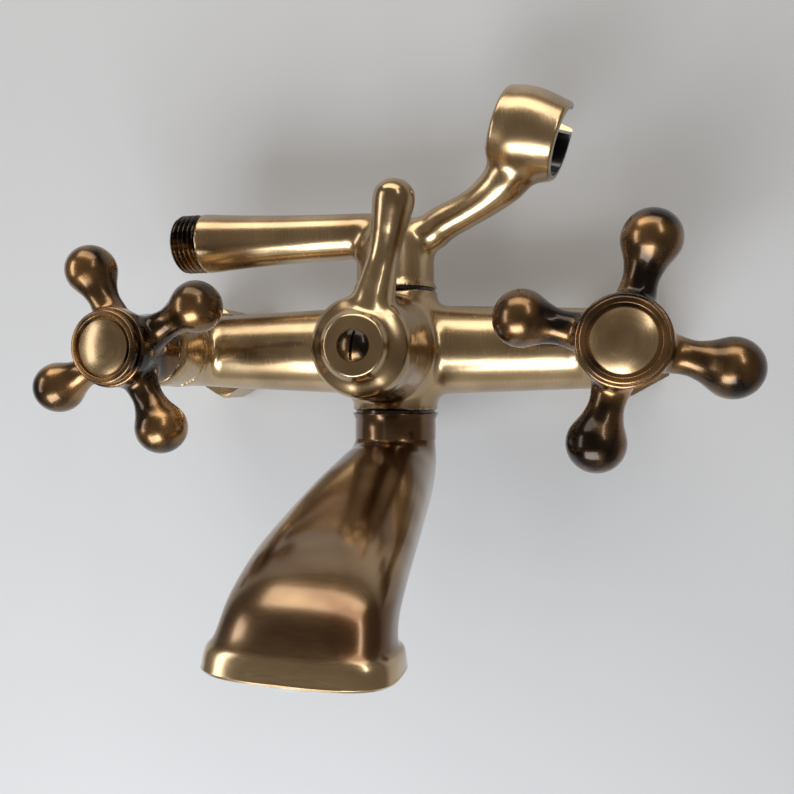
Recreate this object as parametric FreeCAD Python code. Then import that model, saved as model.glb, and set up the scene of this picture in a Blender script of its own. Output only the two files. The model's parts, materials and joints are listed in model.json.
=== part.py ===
import FreeCAD, Part
import math
import os

# Exposed two-handle bath and shower mixer. Millimetres.
# +X right, +Y into the wall, +Z up. The origin is midway between the two inlets,
# on the plane of the union nuts' wall-side faces.

# ---- overall sizes
INLET_SPACING = 150.0       # standard centres of the two wall inlets
AXIS_STANDOFF = 36.0        # bar axis in front of the nuts' wall faces
CLEAR = 0.3                 # gap between curved faces on different bodies
RUNNING = 0.05              # radial clearance of a running fit
FACE_GAP = 0.05             # water film between two faces that turn on each other

# ---- pipe threads, radii
G12_MAJOR = 10.48           # G1/2 outside thread
G34_MINOR = 12.06           # G3/4 inside thread, at its crests
THREAD_UNDERCUT = 0.9
THREAD_CHAMFER = 1.0

# ---- mixer body casting
BAR_END_RADIUS = 12.5
BAR_MID_RADIUS = 15.5
BAR_BORE_RADIUS = 7.5
HOUSING_RADIUS = 12.5
HOUSING_FRONT = 17.0        # forward of the bar axis
HOUSING_EDGE = 4.0
BARREL_RADIUS = 19.5
NECK_RADIUS = 14.6
NECK_WAIST = 14.1
NECK_WAIST_DROP = 1.6
UPPER_SEAT = 19.7           # top face of the body above the bar axis
LOWER_SEAT = 20.2           # bottom face of the body below the bar axis
WATERWAY_RADIUS = 7.0

# ---- inlet union
HOUSING_REAR = 14.5         # behind the bar axis
SPIGOT_RADIUS = 9.9
SPIGOT_NECK = 3.5           # bare spigot between housing and nut
SPIGOT_PLAY = 3.0           # of the snap ring behind the nut's web
INLET_BORE_RADIUS = 6.8
NUT_AF = 30.0
NUT_WEB = 4.0
NUT_RELIEF_RADIUS = 13.0
NUT_CHAMFER = 1.6
SNAP_RING_WIDTH = 1.6
SNAP_RING_INNER = 8.9
SNAP_RING_OUTER = 11.4
SNAP_RING_INSET = 1.2       # from the spigot's end face to the ring
WASHER_RADIUS = 11.6
WASHER_THICKNESS = 2.5
STRAINER_RADIUS = 8.0
STRAINER_THICKNESS = 0.6
STRAINER_HOLE = 0.7
STRAINER_PITCH = 2.6

# ---- ceramic headwork, distances forward of the bar axis
VALVE_SEAT = -8.5
VALVE_THREAD_START = 7.0
BARREL_SKIN = 0.9           # wall of the headwork below its thread
BARREL_PLAY = 0.4
SEAL_THICKNESS = 1.2
DISC_THICKNESS = 2.8
DISC_BORE_RADIUS = 8.3
DISC_PORT_INNER = 2.0
DISC_PORT_OUTER = 6.6
WINDOW_HEIGHT = 4.0
WINDOW_WIDTH = 8.0
HEADWORK_FLANGE_RADIUS = 11.0
HEADWORK_FLANGE = 1.4
HEADWORK_HEX_AF = 18.0
HEADWORK_HEX = 6.0
HEADWORK_TOP = 30.0
HEADWORK_NECK_RADIUS = 7.0
STEM_STEP = 0.9             # stem beyond the spindle
STEM_LENGTH = 13.0
SPINDLE_RADIUS = 4.0
SPINDLE_FLANGE = 2.2
SPINDLE_END = 45.6
O_RING_SECTION = 0.75

# ---- cover sleeve round the headwork
SLEEVE_RADIUS = 12.2
SLEEVE_WALL = 0.9
SLEEVE_FRONT = 31.0
SLEEVE_EDGE = 2.6

# ---- cross handle, distances forward of the bar axis
HUB_REAR = 32.2
HUB_REAR_RADIUS = 11.7
HUB_WAIST_RADIUS = 10.8
HUB_RIM_RADIUS = 12.3
HUB_RIM_START = 49.5
HUB_FRONT = 54.6
HUB_CAVITY_RADIUS = 8.6
HUB_CAVITY = 3.6
HUB_WEB = 2.0
ARM_PLANE = 45.2
ARM_BALL_CENTRE = 27.6
ARM_BALL_RADIUS = 8.04
ARM_WAIST_AT = 16.5
ARM_WAIST_RADIUS = 4.7
ARM_ROOT_RADIUS = 6.8
LEFT_HANDLE_ANGLE = 26.5
RIGHT_HANDLE_ANGLE = -14.4
CAP_SEAT_RADIUS = 9.0
CAP_SKIRT = 3.0
CAP_SKIRT_WALL = 2.0
CAP_CHAMFER = 0.6
CAP_RADIUS = 11.2
CAP_FRONT = 57.4
CAP_BUTTON_RADIUS = 8.4
CAP_BUTTON_RISE = 0.9
CAP_BUTTON_DROP = 0.3       # of its edge below the rim
CAP_GROOVE = 0.9
HANDLE_SCREW_RADIUS = 2.5
HANDLE_SCREW_HEAD = 4.2
HANDLE_SCREW_HEAD_HEIGHT = 2.6
HANDLE_SCREW_REACH = 11.0
HANDLE_SCREW_KEY = 3.75     # across the socket's flats
HANDLE_SCREW_KEY_DEPTH = 1.56

# ---- diverter, distances forward of the bar axis
BOSS_FRONT = 31.2
BOSS_RADIUS = 15.9
BOSS_SHOULDER = 10.0
PLUG_RADIUS = 10.4
PLUG_REAR = -9.0
PLUG_FRONT = 9.0
PLUG_PORT = 5.5
DIVERTER_THREAD_RADIUS = 12.4
DIVERTER_THREAD_START = 19.0
BONNET_HEX_AF = 19.0
BONNET_HEX = 4.4
BONNET_SKIRT_RADIUS = 10.0
BONNET_SKIRT_WALL = 2.4
BELL_REAR = 32.0
BELL_REAR_RADIUS = 16.3
BELL_FRONT = 45.5
BELL_FACE_RADIUS = 9.4
BELL_BULGE = 2.3
BELL_WALL = 2.6
BELL_SOCKET = 9.0
LEVER_TILT = 13.5           # degrees from upright, towards +X
LEVER_ROOT_AT = 8.0
LEVER_ROOT_FORWARD = 38.5
LEVER_ROOT_RADIUS = 7.6
LEVER_WAIST_AT = 27.5
LEVER_WAIST_FORWARD = 35.5
LEVER_WAIST_RADIUS = 4.6
LEVER_BALL_AT = 43.6
LEVER_BALL_FORWARD = 38.0
LEVER_BALL_RADIUS = 6.55
LEVER_BALL_PROUD = 0.35     # of the ball round the arm's end
LEVER_SCREW_RADIUS = 2.5
LEVER_SCREW_HEAD = 4.7
LEVER_SCREW_RISE = 2.2
LEVER_SCREW_SINK = 0.7      # of the head's seat below the bell's face
LEVER_SCREW_REACH = 12.0
LEVER_SCREW_SLOT = 0.9
LEVER_SCREW_FLOOR = 0.8     # of metal left under the slot
LEVER_SCREW_SLOT_TILT = 8.0

# ---- swivel nipples
SWIVEL_RADIUS = 10.9
NIPPLE_ENGAGE = 7.6
NIPPLE_LENGTH = 15.0
NIPPLE_BORE_RADIUS = 6.9
RING_GROOVE_DEPTH = 1.3
FIRST_RING = 3.2
SECOND_RING = 7.2
RETAINER_AT = 11.4
RETAINER_GROOVE = 3.2
RETAINER_DEPTH = 1.4
SEAM = 0.9                  # visible gap, filled by the thrust washer
WASHER_INSET = 0.9
SET_SCREW_RADIUS = 2.0
SET_SCREW_POINT = 1.1

# ---- shower arm casting, heights above the bar axis
ARM_NECK_WALL = 2.25
ARM_COLLAR_FLARE = 1.3
ARM_COLLAR = 2.4
ARM_SHOULDER = 35.0
ARM_TOP = 46.4
TUBE_HEIGHT = 39.5
TUBE_ROOT_RADIUS = 7.4
TUBE_MID_RADIUS = 8.3
TUBE_MID_AT = 35.0
TUBE_END_RADIUS = 10.6
TUBE_END_AT = 71.2
OUTLET_END = 81.2
OUTLET_BORE_RADIUS = 6.0

# ---- handset holder at the arm's right end
HOLDER_YAW = 9.0            # the holder arm leans forward of the bar
HOLDER_OUT = 47.0
HOLDER_HEIGHT = 67.0
HOLDER_TILT = 18.0          # its axis falls to the right
HOLDER_TURN = 3.0           # and points forward
HOLDER_HALF_LENGTH = 10.4
HOLDER_BORE_RADIUS = 11.2
HOLDER_LEFT_WALL = 2.5
HOLDER_CROWN_WALL = 3.3
HOLDER_RIGHT_WALL = 1.2
LINER_WALL = 1.0
HOLDER_SLOT = 11.0
HOLDER_SLOT_ANGLE = 63.0    # from straight back, towards the top
# out along the arm, height, radius
HOLDER_ARM = (
    (3.0, 37.2, 7.2),
    (11.4, 38.4, 6.7),
    (17.6, 41.9, 5.9),
    (24.8, 45.0, 5.55),
    (32.1, 48.8, 5.9),
    (38.2, 53.6, 7.6),
    (44.0, 60.0, 8.6),
)

# ---- spout casting
SPOUT_WALL = 2.6
SPOUT_FLOOR = 4.0
SPOUT_NECK_WALL = 2.85
SPOUT_COLLAR_FLARE = 1.0
SPOUT_COLLAR = 2.2
SPOUT_NECK_END = 30.6
SPOUT_SQUARENESS = 2.5      # superellipse power of the duckbill's sections
SECTION_POINTS = 24
AERATOR_RADIUS = 11.0
AERATOR_OUT = 2.2
AERATOR_WALL = 1.0
AERATOR_LENGTH = 7.5
AERATOR_GASKET = 1.4
AERATOR_GASKET_LIP = 2.0    # of the gasket inside the shell's wall
SCREEN_THICKNESS = 2.4
SCREEN_INSET = 0.6
SCREEN_HOLE = 0.8
SCREEN_PITCH = 2.7

HALF_SPACING = INLET_SPACING / 2.0
NUT_FRONT = HOUSING_REAR + SPIGOT_NECK              # behind the bar axis
SPIGOT_END = NUT_FRONT + NUT_WEB + SPIGOT_PLAY
HOLDER_LEFT_RADIUS = HOLDER_BORE_RADIUS + HOLDER_LEFT_WALL
HOLDER_CROWN_RADIUS = HOLDER_BORE_RADIUS + HOLDER_CROWN_WALL
HOLDER_RIGHT_RADIUS = HOLDER_BORE_RADIUS + HOLDER_RIGHT_WALL
LINER_BORE_RADIUS = HOLDER_BORE_RADIUS - LINER_WALL
BARREL_SKIN_RADIUS = DISC_BORE_RADIUS + BARREL_SKIN
VALVE_BORE_RADIUS = BARREL_SKIN_RADIUS + BARREL_PLAY
STEM_RADIUS = SPINDLE_RADIUS + STEM_STEP
SWIVEL_BORE = SWIVEL_RADIUS + RUNNING
ARM_NECK_RADIUS = SWIVEL_BORE + ARM_NECK_WALL
ARM_COLLAR_RADIUS = ARM_NECK_RADIUS + ARM_COLLAR_FLARE
SPOUT_NECK_RADIUS = SWIVEL_BORE + SPOUT_NECK_WALL
SPOUT_COLLAR_RADIUS = SPOUT_NECK_RADIUS + SPOUT_COLLAR_FLARE
# forward of the neck axis, depth below the bar axis, half width, half thickness,
# and the section's lean from level in degrees
SPOUT_SECTIONS = (
    (0.0, 26.5, SPOUT_NECK_RADIUS - 0.4, SPOUT_NECK_RADIUS - 0.4, 0.0),
    (0.4, 31.0, SPOUT_NECK_RADIUS - 0.2, SPOUT_NECK_RADIUS - 0.2, 4.0),
    (3.6, 36.6, 14.6, 14.2, 24.0),
    (14.0, 42.4, 16.2, 13.2, 52.0),
    (30.0, 47.4, 18.2, 11.6, 66.0),
    (48.0, 53.4, 20.4, 10.8, 62.0),
    (64.0, 59.6, 22.4, 11.2, 50.0),
    (76.0, 67.2, 23.4, 12.4, 28.0),
    (81.6, 74.6, 24.8, 13.6, 8.0),
    (82.6, 80.0, 25.2, 14.4, 0.0),
)
SIDES = (("left", -1.0), ("right", 1.0))
OUTWARD = FreeCAD.Vector(0, -1, 0)
WALLWARD = FreeCAD.Vector(0, 1, 0)
UP = FreeCAD.Vector(0, 0, 1)
DOWN = FreeCAD.Vector(0, 0, -1)
LEFTWARD = FreeCAD.Vector(-1, 0, 0)
RIGHTWARD = FreeCAD.Vector(1, 0, 0)


def point(x, y, z):
    return FreeCAD.Vector(x, y, z)


def on_bar(x, up=0.0):
    """A point on the bar's axis, or straight above it."""
    return point(x, -AXIS_STANDOFF, up)


def lathe(outline, origin, direction):
    """Turns an outline of (radius, distance) points about an axis. A point of four
    values is an arc: through the first two, to the last two."""
    edges = []
    start = outline[0]
    for item in outline[1:] + [outline[0]]:
        a = point(start[-2], 0, start[-1])
        b = point(item[-2], 0, item[-1])
        if len(item) == 4:
            edges.append(Part.Arc(a, point(item[0], 0, item[1]), b).toShape())
        elif a.distanceToPoint(b) > 1e-6:
            edges.append(Part.makeLine(a, b))
        start = item
    face = Part.Face(Part.Wire(edges))
    solid = face.revolve(point(0, 0, 0), UP, 360)
    solid = Part.Solid(solid.Shells[0]) if solid.ShapeType != "Solid" else solid
    turn = FreeCAD.Rotation(UP, direction)
    solid.Placement = FreeCAD.Placement(origin, turn)
    return solid


def dome(radius, base, apex):
    """The last outline point of a spherical cap that starts at (radius, base)."""
    rise = apex - base
    sphere = (radius ** 2 + rise ** 2) / (2 * rise)
    half = math.asin(min(radius / sphere, 1.0)) / 2
    return (sphere * math.sin(half), apex - sphere * (1 - math.cos(half)), 0, apex)


def rod(radius, start, end, origin, direction):
    """A plain cylinder between two distances along an axis."""
    low, high = min(start, end), max(start, end)
    return Part.makeCylinder(radius, high - low, origin + direction * low, direction)


def tube(outer, inner, start, end, origin, direction):
    return rod(outer, start, end, origin, direction).cut(rod(inner, start, end, origin, direction))


def hexagon(across_flats, start, end, origin, direction):
    corner = across_flats / math.sqrt(3.0)
    corners = []
    for i in range(7):
        turn = math.radians(60 * i)
        corners.append(point(corner * math.cos(turn), corner * math.sin(turn), 0))
    prism = Part.Face(Part.makePolygon(corners)).extrude(point(0, 0, end - start))
    turn = FreeCAD.Rotation(UP, direction)
    prism.Placement = FreeCAD.Placement(origin + direction * start, turn)
    return prism


def ring(radius, section, along, origin, direction):
    """An O-ring."""
    return Part.makeTorus(radius, section, origin + direction * along, direction)


def hole_grid(hole, pitch, reach, start, end, origin, direction):
    """Round holes on concentric circles, for strainers and screens."""
    across = direction.cross(UP) if abs(direction.z) < 0.5 else RIGHTWARD
    holes = rod(hole, start, end, origin, direction)
    for row in range(1, int((reach - hole) / pitch) + 1):
        for i in range(6 * row):
            turn = FreeCAD.Rotation(direction, 60.0 * i / row)
            centre = origin + turn.multVec(across * (pitch * row))
            holes = holes.fuse(rod(hole, start, end, centre, direction))
    return holes


def save(node, shape):
    """Writes one node: one clean solid, or a compound of like solids."""
    solids = shape.Solids
    kept = solids[0] if len(solids) == 1 else Part.makeCompound(solids)
    if not kept.isValid():
        raise ValueError(node + " is not a valid solid")
    kept.exportStep(os.path.join("parts", node + ".step"))
    print(node, len(solids), round(kept.Volume, 1))


# ---- mixer body -----------------------------------------------------------------

def mixer_body():
    centre = on_bar(0)
    bar = lathe([(0, -HALF_SPACING), (BAR_END_RADIUS, -HALF_SPACING), (BAR_MID_RADIUS, 0),
                 (BAR_END_RADIUS, HALF_SPACING), (0, HALF_SPACING)], centre, RIGHTWARD)
    barrel = lathe([(0, -LOWER_SEAT), (NECK_RADIUS, -LOWER_SEAT),
                    (NECK_WAIST, -LOWER_SEAT + NECK_WAIST_DROP),
                    (BARREL_RADIUS, 0, NECK_WAIST, UPPER_SEAT - NECK_WAIST_DROP),
                    (NECK_RADIUS, UPPER_SEAT), (0, UPPER_SEAT)], centre, UP)
    boss = lathe([(0, -BARREL_RADIUS + 2), (BARREL_RADIUS - 4, -BOSS_SHOULDER), (BARREL_RADIUS - 1, 0),
                  (BOSS_RADIUS + 1.5, BOSS_SHOULDER), (BOSS_RADIUS, BOSS_FRONT), (0, BOSS_FRONT)],
                 centre, OUTWARD)
    body = bar.fuse([barrel, boss])
    for _, side in SIDES:
        valve = on_bar(side * HALF_SPACING)
        housing = lathe([(0, -HOUSING_REAR), (HOUSING_RADIUS - HOUSING_EDGE, -HOUSING_REAR),
                         (HOUSING_RADIUS - 0.3 * HOUSING_EDGE, -HOUSING_REAR + 0.3 * HOUSING_EDGE,
                          HOUSING_RADIUS, -HOUSING_REAR + HOUSING_EDGE),
                         (HOUSING_RADIUS, HOUSING_FRONT), (0, HOUSING_FRONT)], valve, OUTWARD)
        spigot = rod(SPIGOT_RADIUS, 0, SPIGOT_END, valve, WALLWARD)
        groove = snap_ring_band(side)
        body = body.fuse([housing, spigot]).cut(groove)
    cuts = [rod(BAR_BORE_RADIUS, -HALF_SPACING, HALF_SPACING, centre, RIGHTWARD),
            rod(WATERWAY_RADIUS, -LOWER_SEAT, UPPER_SEAT, centre, UP),
            rod(G12_MAJOR, UPPER_SEAT - NIPPLE_ENGAGE, UPPER_SEAT, centre, UP),
            rod(G12_MAJOR, LOWER_SEAT - NIPPLE_ENGAGE, LOWER_SEAT, centre, DOWN),
            rod(PLUG_RADIUS + RUNNING, PLUG_REAR - 1.0, BOSS_FRONT, centre, OUTWARD),
            rod(DIVERTER_THREAD_RADIUS, DIVERTER_THREAD_START, BOSS_FRONT, centre, OUTWARD)]
    for _, side in SIDES:
        valve = on_bar(side * HALF_SPACING)
        cuts += [rod(VALVE_BORE_RADIUS, VALVE_SEAT, HOUSING_FRONT, valve, OUTWARD),
                 rod(G12_MAJOR, VALVE_THREAD_START, HOUSING_FRONT, valve, OUTWARD),
                 rod(INLET_BORE_RADIUS, 0, SPIGOT_END, valve, WALLWARD)]
    save("mixer_body", body.cut(cuts))


def snap_ring_band(side):
    valve = on_bar(side * HALF_SPACING)
    start = SPIGOT_END - SNAP_RING_INSET - SNAP_RING_WIDTH
    return tube(SNAP_RING_OUTER, SNAP_RING_INNER, start, start + SNAP_RING_WIDTH, valve, WALLWARD)


def inlet(name, side):
    valve = on_bar(side * HALF_SPACING)
    nut = hexagon(NUT_AF, NUT_FRONT, AXIS_STANDOFF, valve, WALLWARD)
    corner = NUT_AF / math.sqrt(3.0)
    crown = lathe([(0, NUT_FRONT), (corner - NUT_CHAMFER, NUT_FRONT), (corner, NUT_FRONT + NUT_CHAMFER),
                   (corner, AXIS_STANDOFF - NUT_CHAMFER), (corner - NUT_CHAMFER, AXIS_STANDOFF),
                   (0, AXIS_STANDOFF)], valve, WALLWARD)
    web_rear = NUT_FRONT + NUT_WEB
    washer_face = SPIGOT_END + WASHER_THICKNESS
    nut = nut.common(crown).cut([rod(G34_MINOR, washer_face, AXIS_STANDOFF, valve, WALLWARD),
                                 rod(NUT_RELIEF_RADIUS, web_rear, washer_face, valve, WALLWARD),
                                 rod(SPIGOT_RADIUS + CLEAR, NUT_FRONT, web_rear, valve, WALLWARD)])
    save("union_nut_" + name, nut)
    slot = math.radians(22)
    band = snap_ring_band(side)
    gap = Part.makeBox(2 * SNAP_RING_INNER * math.tan(slot / 2), 2 * SNAP_RING_OUTER, SNAP_RING_OUTER)
    gap.translate(valve + point(-SNAP_RING_INNER * math.tan(slot / 2), 0, 0))
    save("snap_ring_" + name, band.cut(gap))
    washer = tube(WASHER_RADIUS, STRAINER_RADIUS, SPIGOT_END, washer_face, valve, WALLWARD)
    save("inlet_washer_" + name, washer)
    screen_at = SPIGOT_END + (WASHER_THICKNESS - STRAINER_THICKNESS) / 2
    screen = rod(STRAINER_RADIUS, screen_at, screen_at + STRAINER_THICKNESS, valve, WALLWARD)
    holes = hole_grid(STRAINER_HOLE, STRAINER_PITCH, STRAINER_RADIUS, screen_at,
                      screen_at + STRAINER_THICKNESS, valve, WALLWARD)
    save("inlet_strainer_" + name, screen.cut(holes))


# ---- ceramic headwork -----------------------------------------------------------

def disc_ports(start, end, valve):
    """Two opposite quarter-circle ports through a ceramic disc."""
    ports = []
    for quarter in (0, 180):
        sector = Part.makeCylinder(DISC_PORT_OUTER, end - start, valve + OUTWARD * start, OUTWARD, 80)
        sector = sector.cut(rod(DISC_PORT_INNER, start, end, valve, OUTWARD))
        sector.rotate(valve, OUTWARD, quarter + 5)
        ports.append(sector)
    return ports


def headwork(name, side):
    valve = on_bar(side * HALF_SPACING)
    floor = VALVE_SEAT + SEAL_THICKNESS
    disc_top = floor + 2 * DISC_THICKNESS + FACE_GAP
    chamber_top = disc_top + FACE_GAP + SPINDLE_FLANGE + WINDOW_HEIGHT
    stem_top = chamber_top + STEM_LENGTH - WINDOW_HEIGHT
    shell = rod(BARREL_SKIN_RADIUS, floor, HOUSING_FRONT, valve, OUTWARD)
    hex_rear = HOUSING_FRONT + HEADWORK_FLANGE
    shell = shell.fuse([rod(G12_MAJOR, VALVE_THREAD_START, HOUSING_FRONT, valve, OUTWARD),
                        rod(HEADWORK_FLANGE_RADIUS, HOUSING_FRONT, hex_rear, valve, OUTWARD),
                        hexagon(HEADWORK_HEX_AF, hex_rear, hex_rear + HEADWORK_HEX, valve, OUTWARD),
                        rod(HEADWORK_NECK_RADIUS, HOUSING_FRONT, HEADWORK_TOP, valve, OUTWARD)])
    window = Part.makeBox(4 * BARREL_SKIN_RADIUS, WINDOW_HEIGHT, WINDOW_WIDTH)
    window.translate(valve + point(-2 * BARREL_SKIN_RADIUS, -chamber_top, -WINDOW_WIDTH / 2))
    shell = shell.cut([rod(DISC_BORE_RADIUS, floor, chamber_top, valve, OUTWARD),
                       rod(STEM_RADIUS + CLEAR, chamber_top, stem_top + CLEAR, valve, OUTWARD),
                       rod(SPINDLE_RADIUS + RUNNING, stem_top, HEADWORK_TOP, valve, OUTWARD), window])
    save("headwork_" + name, shell)
    seal = tube(BARREL_SKIN_RADIUS, INLET_BORE_RADIUS, VALVE_SEAT, floor, valve, OUTWARD)
    save("headwork_seal_" + name, seal)
    fixed = rod(DISC_BORE_RADIUS, floor, floor + DISC_THICKNESS, valve, OUTWARD)
    save("fixed_disc_" + name, fixed.cut(disc_ports(floor, floor + DISC_THICKNESS, valve)))
    moving_from = floor + DISC_THICKNESS + FACE_GAP
    moving = rod(DISC_BORE_RADIUS - CLEAR, moving_from, disc_top, valve, OUTWARD)
    moving = moving.cut(disc_ports(moving_from, disc_top, valve))
    moving.rotate(valve, OUTWARD, 90)
    save("turning_disc_" + name, moving)
    ring_at = (chamber_top + stem_top) / 2
    ring_radius = STEM_RADIUS + CLEAR - RUNNING - O_RING_SECTION
    spindle = rod(DISC_BORE_RADIUS - CLEAR, disc_top, disc_top + SPINDLE_FLANGE, valve, OUTWARD)
    spindle = spindle.fuse([rod(STEM_RADIUS, disc_top, stem_top, valve, OUTWARD),
                            rod(SPINDLE_RADIUS, disc_top, SPINDLE_END, valve, OUTWARD)])
    groove = tube(STEM_RADIUS + 1, ring_radius - O_RING_SECTION, ring_at - O_RING_SECTION,
                  ring_at + O_RING_SECTION, valve, OUTWARD)
    screw_hole = rod(HANDLE_SCREW_RADIUS, SPINDLE_END - HANDLE_SCREW_REACH, SPINDLE_END, valve, OUTWARD)
    save("spindle_" + name, spindle.cut([groove, screw_hole]))
    save("spindle_ring_" + name, ring(ring_radius, O_RING_SECTION, ring_at, valve, OUTWARD))


def cover_sleeve(name, side):
    valve = on_bar(side * HALF_SPACING)
    inner = SLEEVE_RADIUS - SLEEVE_WALL
    eye = HEADWORK_NECK_RADIUS + CLEAR
    knee = SLEEVE_FRONT - SLEEVE_EDGE
    outline = [(inner, HOUSING_FRONT), (SLEEVE_RADIUS, HOUSING_FRONT), (SLEEVE_RADIUS, knee),
               (SLEEVE_RADIUS - 0.3 * SLEEVE_EDGE, SLEEVE_FRONT - 0.3 * SLEEVE_EDGE,
                SLEEVE_RADIUS - SLEEVE_EDGE, SLEEVE_FRONT),
               (eye, SLEEVE_FRONT), (eye, SLEEVE_FRONT - SLEEVE_WALL),
               (inner - SLEEVE_EDGE, SLEEVE_FRONT - SLEEVE_WALL), (inner, knee)]
    save("cover_sleeve_" + name, lathe(outline, valve, OUTWARD))


# ---- cross handle ---------------------------------------------------------------

def handle_arm(centre, direction):
    """A waisted arm that ends in a ball."""
    ball_start = ARM_BALL_CENTRE - 0.72 * ARM_BALL_RADIUS
    ball_root = ARM_BALL_RADIUS * math.sqrt(1 - 0.72 ** 2)
    outline = [(0, 0), (ARM_ROOT_RADIUS, 0), (ARM_ROOT_RADIUS, 0.45 * ARM_WAIST_AT),
               (ARM_WAIST_RADIUS + 0.3, 0.8 * ARM_WAIST_AT, ARM_WAIST_RADIUS, ARM_WAIST_AT),
               (ball_root, ball_start),
               (ARM_BALL_RADIUS * math.sin(math.radians(70)),
                ARM_BALL_CENTRE + ARM_BALL_RADIUS * math.cos(math.radians(70)),
                0, ARM_BALL_CENTRE + ARM_BALL_RADIUS)]
    return lathe(outline, centre, direction)


def cross_handle(name, side, angle):
    valve = on_bar(side * HALF_SPACING)
    hub = lathe([(0, HUB_REAR), (HUB_REAR_RADIUS, HUB_REAR),
                 (HUB_WAIST_RADIUS, (HUB_REAR + HUB_RIM_START) / 2, HUB_RIM_RADIUS, HUB_RIM_START),
                 (HUB_RIM_RADIUS, HUB_FRONT), (0, HUB_FRONT)], valve, OUTWARD)
    arms = []
    for i in range(4):
        turn = math.radians(angle + 90 * i)
        direction = point(math.cos(turn), 0, math.sin(turn))
        arms.append(handle_arm(valve + OUTWARD * ARM_PLANE, direction))
    web_front = SPINDLE_END + CLEAR + HUB_WEB
    handle = hub.fuse(arms).cut([rod(HUB_CAVITY_RADIUS, HUB_REAR, HUB_REAR + HUB_CAVITY, valve, OUTWARD),
                                 rod(SPINDLE_RADIUS, HUB_REAR, SPINDLE_END + CLEAR, valve, OUTWARD),
                                 rod(HANDLE_SCREW_RADIUS + CLEAR, SPINDLE_END, web_front, valve, OUTWARD),
                                 rod(CAP_SEAT_RADIUS, web_front, HUB_FRONT, valve, OUTWARD)])
    save("cross_handle_" + name, handle)
    screw = rod(HANDLE_SCREW_RADIUS, SPINDLE_END - HANDLE_SCREW_REACH, web_front, valve, OUTWARD)
    head_top = web_front + HANDLE_SCREW_HEAD_HEIGHT
    screw = screw.fuse(rod(HANDLE_SCREW_HEAD, web_front, head_top, valve, OUTWARD))
    socket = hexagon(HANDLE_SCREW_KEY, head_top - HANDLE_SCREW_KEY_DEPTH, head_top, valve, OUTWARD)
    save("handle_screw_" + name, screw.cut(socket))
    groove_outer = CAP_BUTTON_RADIUS + CAP_GROOVE
    skirt_bore = CAP_SEAT_RADIUS - CAP_SKIRT_WALL
    button_edge = CAP_FRONT - CAP_BUTTON_DROP
    cap = lathe([(0, HUB_FRONT), (skirt_bore, HUB_FRONT), (skirt_bore, HUB_FRONT - CAP_SKIRT),
                 (CAP_SEAT_RADIUS, HUB_FRONT - CAP_SKIRT), (CAP_SEAT_RADIUS, HUB_FRONT),
                 (CAP_RADIUS, HUB_FRONT), (CAP_RADIUS, CAP_FRONT - CAP_CHAMFER),
                 (CAP_RADIUS - CAP_CHAMFER, CAP_FRONT),
                 (groove_outer, CAP_FRONT), (groove_outer, CAP_FRONT - CAP_GROOVE),
                 (CAP_BUTTON_RADIUS, CAP_FRONT - CAP_GROOVE), (CAP_BUTTON_RADIUS, button_edge),
                 dome(CAP_BUTTON_RADIUS, button_edge, CAP_FRONT + CAP_BUTTON_RISE)],
                valve, OUTWARD)
    save("index_cap_" + name, cap)


# ---- diverter -------------------------------------------------------------------

def lever_direction():
    tilt = math.radians(LEVER_TILT)
    return point(math.sin(tilt), 0, math.cos(tilt))


def lever_station(along, forward):
    return on_bar(0) + lever_direction() * along + OUTWARD * forward


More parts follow.
